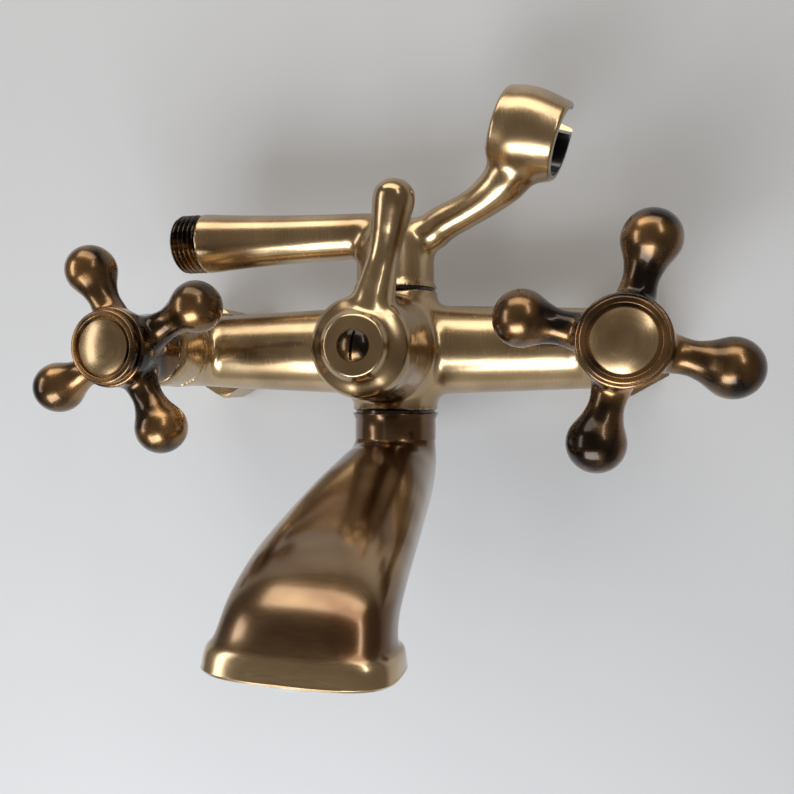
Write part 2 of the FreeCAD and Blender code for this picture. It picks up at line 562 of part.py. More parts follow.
def diverter_lever():
    centre = on_bar(0)
    web_rear = BELL_FRONT - BELL_SOCKET
    bell = lathe([(0, BELL_REAR), (BELL_REAR_RADIUS, BELL_REAR),
                  ((BELL_REAR_RADIUS + BELL_FACE_RADIUS) / 2 + BELL_BULGE, (BELL_REAR + BELL_FRONT) / 2 + 1.0,
                   BELL_FACE_RADIUS, BELL_FRONT), (0, BELL_FRONT)], centre, OUTWARD)
    root = lever_station(LEVER_ROOT_AT, LEVER_ROOT_FORWARD)
    waist = lever_station(LEVER_WAIST_AT, LEVER_WAIST_FORWARD)
    ball = lever_station(LEVER_BALL_AT, LEVER_BALL_FORWARD)
    lower = Part.makeCone(LEVER_ROOT_RADIUS, LEVER_WAIST_RADIUS, (waist - root).Length, root, waist - root)
    reach = (ball - waist).Length
    tip_radius = LEVER_BALL_RADIUS - LEVER_BALL_PROUD
    upper = Part.makeCone(LEVER_WAIST_RADIUS, tip_radius, reach, waist, ball - waist)
    knuckle = Part.makeSphere(LEVER_WAIST_RADIUS, waist)
    knob = Part.makeSphere(LEVER_BALL_RADIUS, ball)
    lever = bell.fuse([lower, knuckle, upper, knob])
    face = rod(BELL_FACE_RADIUS + 8, BELL_FRONT, BELL_FRONT + 20, centre, OUTWARD)
    cavity = lathe([(0, BELL_REAR), (BELL_REAR_RADIUS - BELL_WALL, BELL_REAR),
                    (BELL_REAR_RADIUS - BELL_WALL - 2.0, web_rear), (0, web_rear)], centre, OUTWARD)
    behind = rod(BELL_REAR_RADIUS + CLEAR, BELL_REAR - LEVER_ROOT_RADIUS, BELL_REAR, centre, OUTWARD)
    seat = BELL_FRONT - LEVER_SCREW_SINK
    lever = lever.cut([face, cavity, behind, rod(SPINDLE_RADIUS, web_rear, seat - HUB_WEB, centre, OUTWARD),
                       rod(LEVER_SCREW_RADIUS + CLEAR, web_rear, seat, centre, OUTWARD),
                       rod(LEVER_SCREW_HEAD + CLEAR, seat, BELL_FRONT, centre, OUTWARD)])
    save("diverter_lever", lever)
    spindle_end = seat - HUB_WEB
    screw = lathe([(0, spindle_end - LEVER_SCREW_REACH), (LEVER_SCREW_RADIUS, spindle_end - LEVER_SCREW_REACH),
                   (LEVER_SCREW_RADIUS, seat), (LEVER_SCREW_HEAD, seat), (LEVER_SCREW_HEAD, seat + 0.5),
                   dome(LEVER_SCREW_HEAD, seat + 0.5, seat + LEVER_SCREW_RISE)],
                  centre, OUTWARD)
    slot = Part.makeBox(LEVER_SCREW_SLOT, LEVER_SCREW_RISE, 3 * LEVER_SCREW_HEAD)
    slot.translate(point(-LEVER_SCREW_SLOT / 2,
                         -AXIS_STANDOFF - seat - LEVER_SCREW_RISE - LEVER_SCREW_FLOOR,
                         -1.5 * LEVER_SCREW_HEAD))
    slot.rotate(centre, OUTWARD, LEVER_SCREW_SLOT_TILT)
    save("lever_screw", screw.cut(slot))
    return spindle_end


def diverter_cartridge(spindle_end):
    centre = on_bar(0)
    hex_top = BOSS_FRONT + BONNET_HEX
    skirt_bore = BONNET_SKIRT_RADIUS - BONNET_SKIRT_WALL
    skirt_rear = PLUG_FRONT + SPINDLE_FLANGE + 1.0
    bonnet = rod(BONNET_SKIRT_RADIUS, skirt_rear, DIVERTER_THREAD_START, centre, OUTWARD)
    bonnet = bonnet.fuse([rod(DIVERTER_THREAD_RADIUS, DIVERTER_THREAD_START, BOSS_FRONT, centre, OUTWARD),
                          hexagon(BONNET_HEX_AF, BOSS_FRONT, hex_top, centre, OUTWARD)])
    shoulder = DIVERTER_THREAD_START + 4.0
    bonnet = bonnet.cut([rod(skirt_bore, PLUG_FRONT, shoulder, centre, OUTWARD),
                         rod(SPINDLE_RADIUS + RUNNING, shoulder, hex_top, centre, OUTWARD)])
    save("diverter_bonnet", bonnet)
    plug = rod(PLUG_RADIUS, PLUG_REAR, PLUG_FRONT, centre, OUTWARD)
    turn = lever_direction()
    port = rod(PLUG_PORT, 0, 2 * PLUG_RADIUS, centre, turn)
    side_port = rod(PLUG_PORT, -2 * PLUG_RADIUS, 2 * PLUG_RADIUS, centre, turn.cross(OUTWARD))
    save("diverter_plug", plug.cut([port, side_port]))
    ring_at = shoulder - 3.0
    stem = skirt_bore - CLEAR
    ring_radius = skirt_bore - RUNNING - O_RING_SECTION
    spindle = rod(BONNET_SKIRT_RADIUS, PLUG_FRONT, PLUG_FRONT + SPINDLE_FLANGE, centre, OUTWARD)
    spindle = spindle.fuse([rod(stem, PLUG_FRONT, shoulder - CLEAR, centre, OUTWARD),
                            rod(SPINDLE_RADIUS, PLUG_FRONT, spindle_end, centre, OUTWARD)])
    groove = tube(stem + 1, ring_radius - O_RING_SECTION, ring_at - O_RING_SECTION,
                  ring_at + O_RING_SECTION, centre, OUTWARD)
    screw_hole = rod(LEVER_SCREW_RADIUS, spindle_end - LEVER_SCREW_REACH, spindle_end, centre, OUTWARD)
    save("diverter_spindle", spindle.cut([groove, screw_hole]))
    save("diverter_ring", ring(ring_radius, O_RING_SECTION, ring_at, centre, OUTWARD))


# ---- swivels --------------------------------------------------------------------

def swivel(name, seat, direction):
    """The nipple that a neck turns on, with its rings, its thrust washer and the screw
    that keeps the neck on."""
    centre = on_bar(0)
    root = SWIVEL_RADIUS - RING_GROOVE_DEPTH
    section = (SWIVEL_RADIUS - root) / 2
    nipple = rod(G12_MAJOR, seat - NIPPLE_ENGAGE, seat, centre, direction)
    nipple = nipple.fuse(rod(SWIVEL_RADIUS, seat, seat + NIPPLE_LENGTH, centre, direction))
    cuts = [rod(NIPPLE_BORE_RADIUS, seat - NIPPLE_ENGAGE, seat + NIPPLE_LENGTH, centre, direction)]
    rings = []
    for offset in (FIRST_RING, SECOND_RING):
        at = seat + offset
        cuts.append(tube(SWIVEL_RADIUS + 1, root, at - section, at + section, centre, direction))
        rings.append(ring(root + section, section, at, centre, direction))
    keep_at = seat + RETAINER_AT
    keep_root = SWIVEL_RADIUS - RETAINER_DEPTH
    cuts.append(tube(SWIVEL_RADIUS + 1, keep_root, keep_at - RETAINER_GROOVE / 2,
                     keep_at + RETAINER_GROOVE / 2, centre, direction))
    save(name + "_nipple", nipple.cut(cuts))
    save(name + "_rings", Part.makeCompound(rings))
    washer_outer = ARM_COLLAR_RADIUS - WASHER_INSET
    washer = tube(washer_outer, SWIVEL_BORE + CLEAR, seat, seat + SEAM - FACE_GAP, centre, direction)
    save(name + "_washer", washer)
    return keep_at, keep_root


def set_screw(name, keep_at, keep_root, neck_radius, direction):
    """A grub screw through the back of a neck, its point standing in the nipple's groove."""
    base = on_bar(0) + direction * keep_at
    screw = rod(SET_SCREW_RADIUS, SWIVEL_RADIUS + CLEAR, neck_radius - CLEAR, base, WALLWARD)
    screw = screw.fuse(rod(SET_SCREW_POINT, keep_root + CLEAR, neck_radius - CLEAR, base, WALLWARD))
    key = hexagon(SET_SCREW_RADIUS, neck_radius - 1.2, neck_radius, base, WALLWARD)
    save(name, screw.cut(key))
    return rod(SET_SCREW_RADIUS, SWIVEL_RADIUS, neck_radius + 3, base, WALLWARD)


def section(centre, across, thick, half_width, half_thick, power=2.0):
    """Points on a closed superellipse, in the plane of two unit vectors. The first point,
    where the skin is joined, is at the back and comes again at the end."""
    points = []
    for i in range(SECTION_POINTS):
        turn = 2 * math.pi * i / SECTION_POINTS
        c, s = math.cos(turn), math.sin(turn)
        points.append(centre - across * (half_width * math.copysign(abs(s) ** (2 / power), s))
                      - thick * (half_thick * math.copysign(abs(c) ** (2 / power), c)))
    return points + points[:1]


def skin(sections):
    """A solid whose side is one smooth surface through the sections."""
    surface = Part.BSplineSurface()
    surface.interpolate(sections)
    side = surface.toShape()
    ends = [Part.Face(Part.Wire(surface.uIso(u).toShape())) for u in surface.bounds()[:2]]
    shell = Part.makeShell([side] + ends)
    shell.sewShape()
    solid = Part.Solid(shell)
    if solid.Volume < 0:
        solid.reverse()
    return solid


def holder_frame():
    """Centre and axis of the handset holder."""
    yaw = math.radians(HOLDER_YAW)
    centre = on_bar(0) + point(HOLDER_OUT * math.cos(yaw), -HOLDER_OUT * math.sin(yaw), HOLDER_HEIGHT)
    tilt = math.radians(HOLDER_TILT)
    turn = math.radians(HOLDER_TURN)
    axis = point(math.cos(tilt) * math.cos(turn), -math.cos(tilt) * math.sin(turn), -math.sin(tilt))
    return centre, axis


def holder_slot():
    """The opening that the hose passes through on its way into the holder."""
    centre, axis = holder_frame()
    back = axis.cross(UP).normalize() * -1.0
    upward = back.cross(axis).normalize() * -1.0
    lift = math.radians(HOLDER_SLOT_ANGLE)
    outward = back * math.cos(lift) + upward * math.sin(lift)
    slot = Part.makeBox(HOLDER_SLOT, 2 * HOLDER_CROWN_RADIUS, 4 * HOLDER_HALF_LENGTH)
    slot.translate(point(-HOLDER_SLOT / 2, 0, -2 * HOLDER_HALF_LENGTH))
    turn = FreeCAD.Rotation(outward.cross(axis), outward, axis, "ZYX")
    slot.Placement = FreeCAD.Placement(centre, turn).multiply(slot.Placement)
    return slot


def shower_arm():
    centre = on_bar(0)
    keep_at, keep_root = swivel("shower", UPPER_SEAT, UP)
    foot = UPPER_SEAT + SEAM
    neck = lathe([(0, foot), (ARM_COLLAR_RADIUS, foot), (ARM_NECK_RADIUS, foot + ARM_COLLAR),
                  (ARM_NECK_RADIUS, ARM_SHOULDER), dome(ARM_NECK_RADIUS, ARM_SHOULDER, ARM_TOP)],
                 centre, UP)
    hose_tube = lathe([(0, 0), (TUBE_ROOT_RADIUS, 0), (TUBE_MID_RADIUS, TUBE_MID_AT),
                       (TUBE_END_RADIUS, TUBE_END_AT), (G12_MAJOR - THREAD_UNDERCUT, TUBE_END_AT),
                       (G12_MAJOR - THREAD_UNDERCUT, TUBE_END_AT + THREAD_UNDERCUT),
                       (G12_MAJOR, TUBE_END_AT + 2 * THREAD_UNDERCUT),
                       (G12_MAJOR, OUTLET_END - THREAD_CHAMFER),
                       (G12_MAJOR - THREAD_CHAMFER, OUTLET_END),
                       (0, OUTLET_END)], on_bar(0, TUBE_HEIGHT), LEFTWARD)
    yaw = math.radians(HOLDER_YAW)
    out_along = point(math.cos(yaw), -math.sin(yaw), 0)
    across = out_along.cross(UP)
    stations = [centre + out_along * out + UP * up for out, up, _ in HOLDER_ARM]
    sections = []
    for i, station in enumerate(stations):
        heading = (stations[min(i + 1, len(stations) - 1)] - stations[max(i - 1, 0)]).normalize()
        radius = HOLDER_ARM[i][2]
        sections.append(section(station, across, across.cross(heading), radius, radius))
    ring_centre, axis = holder_frame()
    cup = lathe([(0, -HOLDER_HALF_LENGTH), (HOLDER_LEFT_RADIUS, -HOLDER_HALF_LENGTH),
                 (HOLDER_CROWN_RADIUS, -0.3 * HOLDER_HALF_LENGTH, HOLDER_RIGHT_RADIUS, HOLDER_HALF_LENGTH),
                 (0, HOLDER_HALF_LENGTH)], ring_centre, axis)
    screw_hole = set_screw("shower_set_screw", keep_at, keep_root, ARM_NECK_RADIUS, UP)
    casting = neck.fuse([hose_tube, skin(sections), cup])
    water_top = UPPER_SEAT + NIPPLE_LENGTH + 1.0
    cup_bore = rod(HOLDER_BORE_RADIUS, -2 * HOLDER_HALF_LENGTH, 2 * HOLDER_HALF_LENGTH, ring_centre, axis)
    casting = casting.cut([cup_bore, holder_slot(), screw_hole,
                           rod(SWIVEL_BORE, foot, water_top, centre, UP),
                           rod(OUTLET_BORE_RADIUS, 0, TUBE_HEIGHT, centre, UP),
                           rod(OUTLET_BORE_RADIUS, 0, OUTLET_END, on_bar(0, TUBE_HEIGHT), LEFTWARD)])
    save("shower_arm", casting)
    liner = tube(HOLDER_BORE_RADIUS, LINER_BORE_RADIUS, -HOLDER_HALF_LENGTH, HOLDER_HALF_LENGTH,
                 ring_centre, axis)
    save("holder_liner", liner.cut(holder_slot()))


def spout_sections(shrink, last_depth=None):
    """The spout's sections, each leaning forward, made smaller by a wall for the hollow."""
    sections = []
    for i, (forward, depth, width, thick, lean) in enumerate(SPOUT_SECTIONS):
        power = 2.0 + (SPOUT_SQUARENESS - 2.0) * i / (len(SPOUT_SECTIONS) - 1)
        if last_depth is not None:
            depth = min(depth, last_depth)
        tip = math.radians(lean)
        sections.append(section(on_bar(0) + point(0, -forward, -depth), RIGHTWARD,
                                point(0, -math.cos(tip), math.sin(tip)),
                                width - shrink, thick - shrink, power))
    return sections


def spout():
    centre = on_bar(0)
    keep_at, keep_root = swivel("spout", LOWER_SEAT, DOWN)
    foot = LOWER_SEAT + SEAM
    mouth_forward, mouth_depth = SPOUT_SECTIONS[-1][:2]
    neck = lathe([(0, foot), (SPOUT_COLLAR_RADIUS, foot), (SPOUT_NECK_RADIUS, foot + SPOUT_COLLAR),
                  (SPOUT_NECK_RADIUS, SPOUT_NECK_END), (0, SPOUT_NECK_END)], centre, DOWN)
    screw_hole = set_screw("spout_set_screw", keep_at, keep_root, SPOUT_NECK_RADIUS, DOWN)
    casting = neck.fuse(skin(spout_sections(0.0)))
    hollow = skin(spout_sections(SPOUT_WALL, mouth_depth - SPOUT_FLOOR))
    outlet = on_bar(0) + OUTWARD * mouth_forward
    casting = casting.cut([hollow, screw_hole,
                           rod(SWIVEL_BORE, foot, LOWER_SEAT + NIPPLE_LENGTH + 1.0, centre, DOWN),
                           rod(AERATOR_RADIUS, mouth_depth - 2 * SPOUT_FLOOR, mouth_depth, outlet, DOWN)])
    save("spout", casting)
    bottom = mouth_depth + AERATOR_OUT
    top = bottom - AERATOR_LENGTH
    inner = AERATOR_RADIUS - AERATOR_WALL
    shell = tube(AERATOR_RADIUS, inner, top, bottom, outlet, DOWN)
    save("aerator_shell", shell)
    screen_bottom = bottom - SCREEN_INSET
    screen_top = screen_bottom - SCREEN_THICKNESS
    screen = rod(inner, screen_top, screen_bottom, outlet, DOWN)
    holes = hole_grid(SCREEN_HOLE, SCREEN_PITCH, inner, screen_top, screen_bottom, outlet, DOWN)
    save("aerator_screen", screen.cut(holes))
    gasket = tube(AERATOR_RADIUS - RUNNING, inner - AERATOR_GASKET_LIP, top - AERATOR_GASKET, top,
                  outlet, DOWN)
    save("aerator_gasket", gasket)


os.makedirs("parts", exist_ok=True)
mixer_body()
for side_name, side_sign in SIDES:
    inlet(side_name, side_sign)
    headwork(side_name, side_sign)
    cover_sleeve(side_name, side_sign)
cross_handle("left", -1.0, LEFT_HANDLE_ANGLE)
cross_handle("right", 1.0, RIGHT_HANDLE_ANGLE)
diverter_cartridge(diverter_lever())
shower_arm()
spout()
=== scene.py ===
"""Finishes an exposed bath and shower mixer in antique brass round its CAD frame.

Everything is in metres, in the frame's axes: +X right, +Y into the wall, +Z up.
"""
import json
import math

import bmesh
import bpy
from bpy.props import FloatProperty, PointerProperty, StringProperty
from mathutils import Euler, Matrix, Vector
from mathutils.bvhtree import BVHTree


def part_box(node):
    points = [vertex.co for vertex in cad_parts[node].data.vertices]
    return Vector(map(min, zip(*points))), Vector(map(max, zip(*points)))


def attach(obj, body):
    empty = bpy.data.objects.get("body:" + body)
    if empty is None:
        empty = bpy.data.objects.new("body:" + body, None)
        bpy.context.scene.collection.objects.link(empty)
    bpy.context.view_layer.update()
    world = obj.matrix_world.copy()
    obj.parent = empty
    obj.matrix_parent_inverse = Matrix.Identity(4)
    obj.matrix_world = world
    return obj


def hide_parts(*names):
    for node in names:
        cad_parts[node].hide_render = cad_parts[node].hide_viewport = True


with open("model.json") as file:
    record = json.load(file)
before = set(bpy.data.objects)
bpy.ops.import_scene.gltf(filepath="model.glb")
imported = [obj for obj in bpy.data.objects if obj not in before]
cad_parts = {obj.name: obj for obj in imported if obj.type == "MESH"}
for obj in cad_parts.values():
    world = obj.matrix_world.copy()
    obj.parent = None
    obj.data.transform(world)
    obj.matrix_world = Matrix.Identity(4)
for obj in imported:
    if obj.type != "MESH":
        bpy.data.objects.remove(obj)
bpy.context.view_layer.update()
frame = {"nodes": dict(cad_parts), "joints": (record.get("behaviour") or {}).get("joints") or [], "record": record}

bl_info = {
    "name": "Antique brass bath mixer",
    "version": (1, 0, 0),
    "blender": (4, 5, 0),
    "location": "View3D > Sidebar > Mixer",
    "description": "Models and finishes each piece of a two-handle bath and shower mixer",
    "category": "Add Mesh",
}

MM = 0.001
TURN = 2 * math.pi
OUT = Vector((0, -1, 0))
WALLWARD = Vector((0, 1, 0))
UP = Vector((0, 0, 1))
DOWN = Vector((0, 0, -1))
RIGHT = Vector((1, 0, 0))
LEFT = Vector((-1, 0, 0))
SIDES = ("left", "right")

JOINT_AT = {joint["name"]: Vector(joint["pos_m"]) for joint in frame["joints"]}
MOUNT = {mount["name"]: mount for mount in frame["record"]["mounts"]}
BAR = JOINT_AT["diverter_turn"]
VALVE = {side: JOINT_AT[f"handle_{side}_turn"] for side in SIDES}
HALF_SPACING = VALVE["right"].x
HOLDER_AT = Vector(MOUNT["handset_holder"]["pos_m"])
HOLDER_AXIS = Vector(MOUNT["handset_holder"]["axis"]).normalized()
HOLDER_HALF = MOUNT["handset_holder"]["dims"]["length_mm"] * MM / 2
UPPER_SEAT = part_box("shower_washer")[0].z
LOWER_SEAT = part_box("spout_washer")[1].z
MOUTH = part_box("spout")[0].z
NUT_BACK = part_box("union_nut_left")[1].y
NUT_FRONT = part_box("union_nut_left")[0].y
NUT_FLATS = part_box("union_nut_left")[1].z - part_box("union_nut_left")[0].z
SPIGOT_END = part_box("inlet_washer_left")[0].y

CLEAR = 0.3 * MM            # between curved faces that move on each other
SWIVEL_BORE = 10.95 * MM    # of the necks, round their nipples
SWIVEL_DEPTH = 16.0 * MM
SET_SCREW_HOLE = 2.0 * MM
SHANK_HOLE = 2.8 * MM       # for the screw of a handle or of the lever
SPINDLE_BORE = 4.0 * MM     # of the handles and the lever, round their spindles
ARC_STEPS = 6               # faces round an edge's rounding
G_PITCH = 1.814 * MM        # of the G1/2 and G3/4 pipe threads
G_DEPTH = 1.16 * MM
G12_CREST = MOUNT["hose_outlet"]["dims"]["r_mm"] * MM
G34_CREST = MOUNT["inlet_left"]["dims"]["r_mm"] * MM


def length(millimetres, name):
    """A length property, its default given in millimetres."""
    return FloatProperty(name=name, default=millimetres * MM, precision=5, unit="LENGTH",
                         subtype="DISTANCE")


def colour(code, name):
    """A colour property, kept as an sRGB hex value."""
    return StringProperty(name=name, default=code)


class MixerBodySizes(bpy.types.PropertyGroup):
    bar_end: length(12.5, "Radius of the bar at each valve")
    bar_middle: length(15.5, "Radius that the bar swells to at its middle")
    housing: length(12.5, "Radius of the housing behind each handle")
    housing_front: length(17.0, "Housing face in front of the bar axis")
    housing_rear: length(14.5, "Housing back behind the bar axis")
    barrel: length(19.5, "Widest radius of the upright barrel")
    neck: length(14.6, "Radius of the two faces that the arm and the spout turn on")
    neck_waist: length(14.1, "Narrowest radius under each of those faces")
    boss: length(15.9, "Radius of the diverter boss at its front")
    boss_front: length(31.2, "Boss face in front of the bar axis")
    spigot: length(9.9, "Radius of the tail that each union nut hangs on")
    fillet: length(5.0, "Softness of the inside corners of the casting")


class MixerSleeveSizes(bpy.types.PropertyGroup):
    radius: length(12.2, "Outside radius of the cover sleeve")
    wall: length(0.9, "Thickness of the drawn brass")
    front: length(31.0, "Front face in front of the bar axis")
    edge: length(2.6, "Rounding of the front edge")


class MixerHandleSizes(bpy.types.PropertyGroup):
    rear: length(32.2, "Back of the hub in front of the bar axis")
    front: length(54.6, "Front of the hub in front of the bar axis")
    rear_radius: length(11.7, "Radius of the hub's back edge")
    waist: length(10.8, "Narrowest radius of the hub")
    rim: length(12.3, "Radius of the hub's front rim")
    arm_plane: length(45.2, "Arms' centre plane in front of the bar axis")
    arm_root: length(6.9, "Radius of an arm where it leaves the hub")
    arm_waist: length(4.7, "Narrowest radius of an arm")
    ball_at: length(27.6, "Distance of a ball from the hub's axis")
    ball: length(8.04, "Radius of the ball at each arm's end")
    cap: length(11.2, "Outside radius of the index cap")
    cap_front: length(57.4, "Front of the cap's rim in front of the bar axis")
    button: length(8.4, "Radius of the cap's domed middle")


class MixerLeverSizes(bpy.types.PropertyGroup):
    rear: length(32.0, "Back of the bell in front of the bar axis")
    front: length(45.5, "Face of the bell in front of the bar axis")
    rear_radius: length(16.3, "Radius of the bell's back edge")
    face: length(9.1, "Radius of the flat face round the screw")
    ball: length(6.55, "Radius of the ball at the lever's end")
    screw: length(4.7, "Radius of the slotted head")
    slot: length(0.9, "Width of the screwdriver slot")


class MixerArmSizes(bpy.types.PropertyGroup):
    neck: length(13.2, "Radius of the neck that turns on the body")
    collar: length(14.5, "Radius of the flared foot of the neck")
    shoulder: length(35.0, "Where the neck's dome begins above the bar axis")
    top: length(46.4, "Top of the neck above the bar axis")
    tube_height: length(39.5, "Hose tube's axis above the bar axis")
    tube_end: length(10.6, "Radius of the hose tube beside its thread")
    left_wall: length(2.5, "Metal round the liner at the holder's left end")
    crown_wall: length(3.3, "Metal round the liner at the holder's crown")
    right_wall: length(1.2, "Metal round the liner at the holder's right end")
    slot: length(11.0, "Width of the opening that the hose passes through")
    liner: length(1.0, "Thickness of the black liner")


class MixerSpoutSizes(bpy.types.PropertyGroup):
    neck: length(13.8, "Radius of the neck that turns under the body")
    collar: length(14.8, "Radius of the flared top of the neck")
    neck_end: length(30.6, "End of the round neck below the bar axis")
    wall: length(2.6, "Thickness of the casting")
    outlet: length(82.6, "Outlet's centre in front of the bar axis")
    aerator: length(11.0, "Radius of the aerator in the mouth")


class MixerFinishes(bpy.types.PropertyGroup):
    brass: colour("#CCB28A", "Cleaned high parts of the antique brass")
    patina: colour("#67482A", "Brown patina of the brushed pieces")
    deep: colour("#23170E", "Almost black patina of the handles")
    tan: colour("#A67E50", "Where the brown of the dark pieces has worn through")
    yellow: colour("#D8B468", "Machined brass inside the mixer")
    steel: colour("#B4B4B0", "Stainless steel of rings, strainers and screws")
    rubber: colour("#1B1B1A", "Nitrile rubber of the seals")
    ceramic: colour("#EDEAE2", "Lapped alumina of the valve discs")
    black: colour("#0A0A0B", "Acetal of the liner and the thrust washers")
    grey: colour("#B9BDBB", "Acetal of the aerator")
    wall: colour("#C3C5C8", "Wall behind the mixer")
    floor: colour("#D0CDC8", "Floor below the mixer")


# ---- modelling ------------------------------------------------------------------

def at(forward, across=0.0, height=0.0):
    """A point so far in front of the bar axis, to the right of its middle and above it."""
    return BAR + Vector((across, -forward, height))


def clear_selection():
    if bpy.context.mode != "OBJECT":
        bpy.ops.object.mode_set(mode="OBJECT")
    bpy.ops.object.select_all(action="DESELECT")


def select_only(*pieces):
    clear_selection()
    for piece in pieces:
        piece.select_set(True)
    bpy.context.view_layer.objects.active = pieces[0]


def settle(piece):
    """Moves a piece's place and turn into its mesh."""
    select_only(piece)
    bpy.ops.object.transform_apply(location=True, rotation=True, scale=True)
    return piece


def close_up(piece):
    """Merges doubled points, drops loose edges and turns all faces outward."""
    select_only(piece)
    bpy.ops.object.mode_set(mode="EDIT")
    bpy.ops.mesh.select_all(action="SELECT")
    bpy.ops.mesh.remove_doubles(threshold=0.002 * MM)
    bpy.ops.mesh.delete_loose(use_verts=True, use_edges=True, use_faces=False)
    bpy.ops.mesh.select_all(action="SELECT")
    bpy.ops.mesh.normals_make_consistent(inside=False)
    bpy.ops.object.mode_set(mode="OBJECT")
    return piece


def apply_modifier(piece, kind, **settings):
    select_only(piece)
    modifier = piece.modifiers.new("step", kind)
    for key, value in settings.items():
        setattr(modifier, key, value)
    bpy.ops.object.modifier_apply(modifier="step")
    return piece


def rounded(outline):
    """The outline with an arc at each point that has a third value, its radius."""
    points = []
    for i, item in enumerate(outline):
        corner = Vector(item[:2])
        if len(item) == 2:
            points.append(corner)
            continue
        back = (Vector(outline[i - 1][:2]) - corner).normalized()
        ahead = (Vector(outline[(i + 1) % len(outline)][:2]) - corner).normalized()
        half = back.angle(ahead) / 2
        centre = corner + (back + ahead).normalized() * (item[2] / math.sin(half))
        start = corner + back * (item[2] / math.tan(half)) - centre
        end = corner + ahead * (item[2] / math.tan(half)) - centre
        sweep = math.pi - 2 * half
        for step in range(ARC_STEPS + 1):
            share = step / ARC_STEPS
            mixed = start * math.sin((1 - share) * sweep) + end * math.sin(share * sweep)
            points.append(centre + mixed / math.sin(sweep))
    return points


def flow(points, steps=6):
    """Points on a smooth line through the given ones."""
    points = [Vector(p) for p in points]
    ends = [points[0] * 2 - points[1]] + points + [points[-1] * 2 - points[-2]]
    line = []
    for i in range(1, len(ends) - 2):
        a, b, c, d = ends[i - 1:i + 3]
        for step in range(steps):
            t = step / steps
            line.append(0.5 * (2 * b + (c - a) * t + (2 * a - 5 * b + 4 * c - d) * t ** 2
                               + (3 * b - a - 3 * c + d) * t ** 3))
    return line + [points[-1]]


def arc(radius, centre, start, end, steps=12):
    """Outline points on a circle whose centre is on the axis, between two angles from it."""
    turns = [math.radians(start + (end - start) * i / steps) for i in range(steps + 1)]
    return [(radius * math.sin(turn), centre + radius * math.cos(turn)) for turn in turns]


def dome(radius, foot, rise, steps):
    """Outline points of a dome, from its foot in to the axis."""
    sphere = (radius ** 2 + rise ** 2) / (2 * rise)
    half = math.degrees(math.asin(min(radius / sphere, 1.0)))
    return arc(sphere, foot + rise - sphere, half * 0.97, 0, steps)


def lathe(outline, origin, direction, steps=96):
    """A closed turning: an outline of (radius, distance along the axis, rounding)."""
    points = rounded([tuple(p) for p in outline])
    clear_selection()
    bpy.ops.mesh.primitive_circle_add(vertices=len(points), radius=1.0, location=(0, 0, 0))
    piece = bpy.context.object
    for vertex, (radius, along) in zip(piece.data.vertices, points):
        vertex.co = (radius, 0, along)
    bpy.ops.object.mode_set(mode="EDIT")
    bpy.ops.mesh.select_all(action="SELECT")
    bpy.ops.mesh.spin(steps=steps, angle=TURN, center=(0, 0, 0), axis=(0, 0, 1))
    close_up(piece)
    piece.rotation_euler = direction.to_track_quat("Z", "Y").to_euler()
    piece.location = origin
    return settle(piece)


def rod(radius, start, end, origin, direction, steps=96):
    return lathe([(0, start), (radius, start), (radius, end), (0, end)], origin, direction, steps)


def prism(across_flats, start, end, origin, direction):
    """A hexagonal bar with slightly broken long edges."""
    clear_selection()
    bpy.ops.mesh.primitive_cylinder_add(vertices=6, radius=across_flats / math.sqrt(3),
                                        depth=end - start)
    piece = bpy.context.object
    bpy.ops.object.mode_set(mode="EDIT")
    mesh = bmesh.from_edit_mesh(piece.data)
    for edge in mesh.edges:
        edge.select = abs(edge.verts[0].co.z - edge.verts[1].co.z) > (end - start) / 2
    bpy.ops.mesh.bevel(offset=0.35 * MM, segments=3)
    bpy.ops.object.mode_set(mode="OBJECT")
    piece.rotation_euler = direction.to_track_quat("Z", "Y").to_euler()
    piece.location = origin + direction * (start + end) / 2
    return settle(piece)


def carve(piece, *tools, operation="DIFFERENCE"):
    """Cuts, joins or keeps what is common with each tool in turn."""
    for tool in tools:
        before = len(piece.data.vertices)
        apply_modifier(piece, "BOOLEAN", operation=operation, solver="MANIFOLD", object=tool)
        if not piece.data.polygons or len(piece.data.vertices) == before:
            raise RuntimeError(f"a cut did nothing to {piece.name}")
        bpy.data.objects.remove(tool)
    return piece


def copy_of(*pieces):
    """One joined copy of several pieces."""
    copies = []
    for piece in pieces:
        twin = piece.copy()
        twin.data = piece.data.copy()
        bpy.context.collection.objects.link(twin)
        copies.append(twin)
    select_only(*copies)
    if len(copies) > 1:
        bpy.ops.object.join()
    return bpy.context.object


def cast(shells, voxel, fillet):
    """Fuses overlapping closed shells into one casting whose inside corners are soft."""
    trees = []
    for shell in shells:
        corners = [v.co for v in shell.data.vertices]
        faces = [tuple(face.vertices) for face in shell.data.polygons]
        trees.append(BVHTree.FromPolygons(corners, faces))
    target = copy_of(*shells)
    casting = copy_of(target)
    apply_modifier(casting, "REMESH", mode="VOXEL", voxel_size=voxel, adaptivity=0.0)
    apply_modifier(casting, "SHRINKWRAP", wrap_method="NEAREST_SURFACEPOINT", target=target)
    group = casting.vertex_groups.new(name="inside_corners")
    for vertex in casting.data.vertices:
        gaps = sorted(tree.find_nearest(vertex.co)[3] for tree in trees)
        share = max(0.0, 1.0 - gaps[1] / fillet)
        if share > 0:
            group.add([vertex.index], share * share * (3 - 2 * share), "REPLACE")
    rounds = int(2.2 * (fillet / voxel) ** 2)
    apply_modifier(casting, "SMOOTH", factor=0.5, iterations=rounds, vertex_group=group.name)
    apply_modifier(casting, "SMOOTH", factor=0.5, iterations=4)
    casting.vertex_groups.clear()
    for spare in [target, *shells]:
        bpy.data.objects.remove(spare)
    return casting


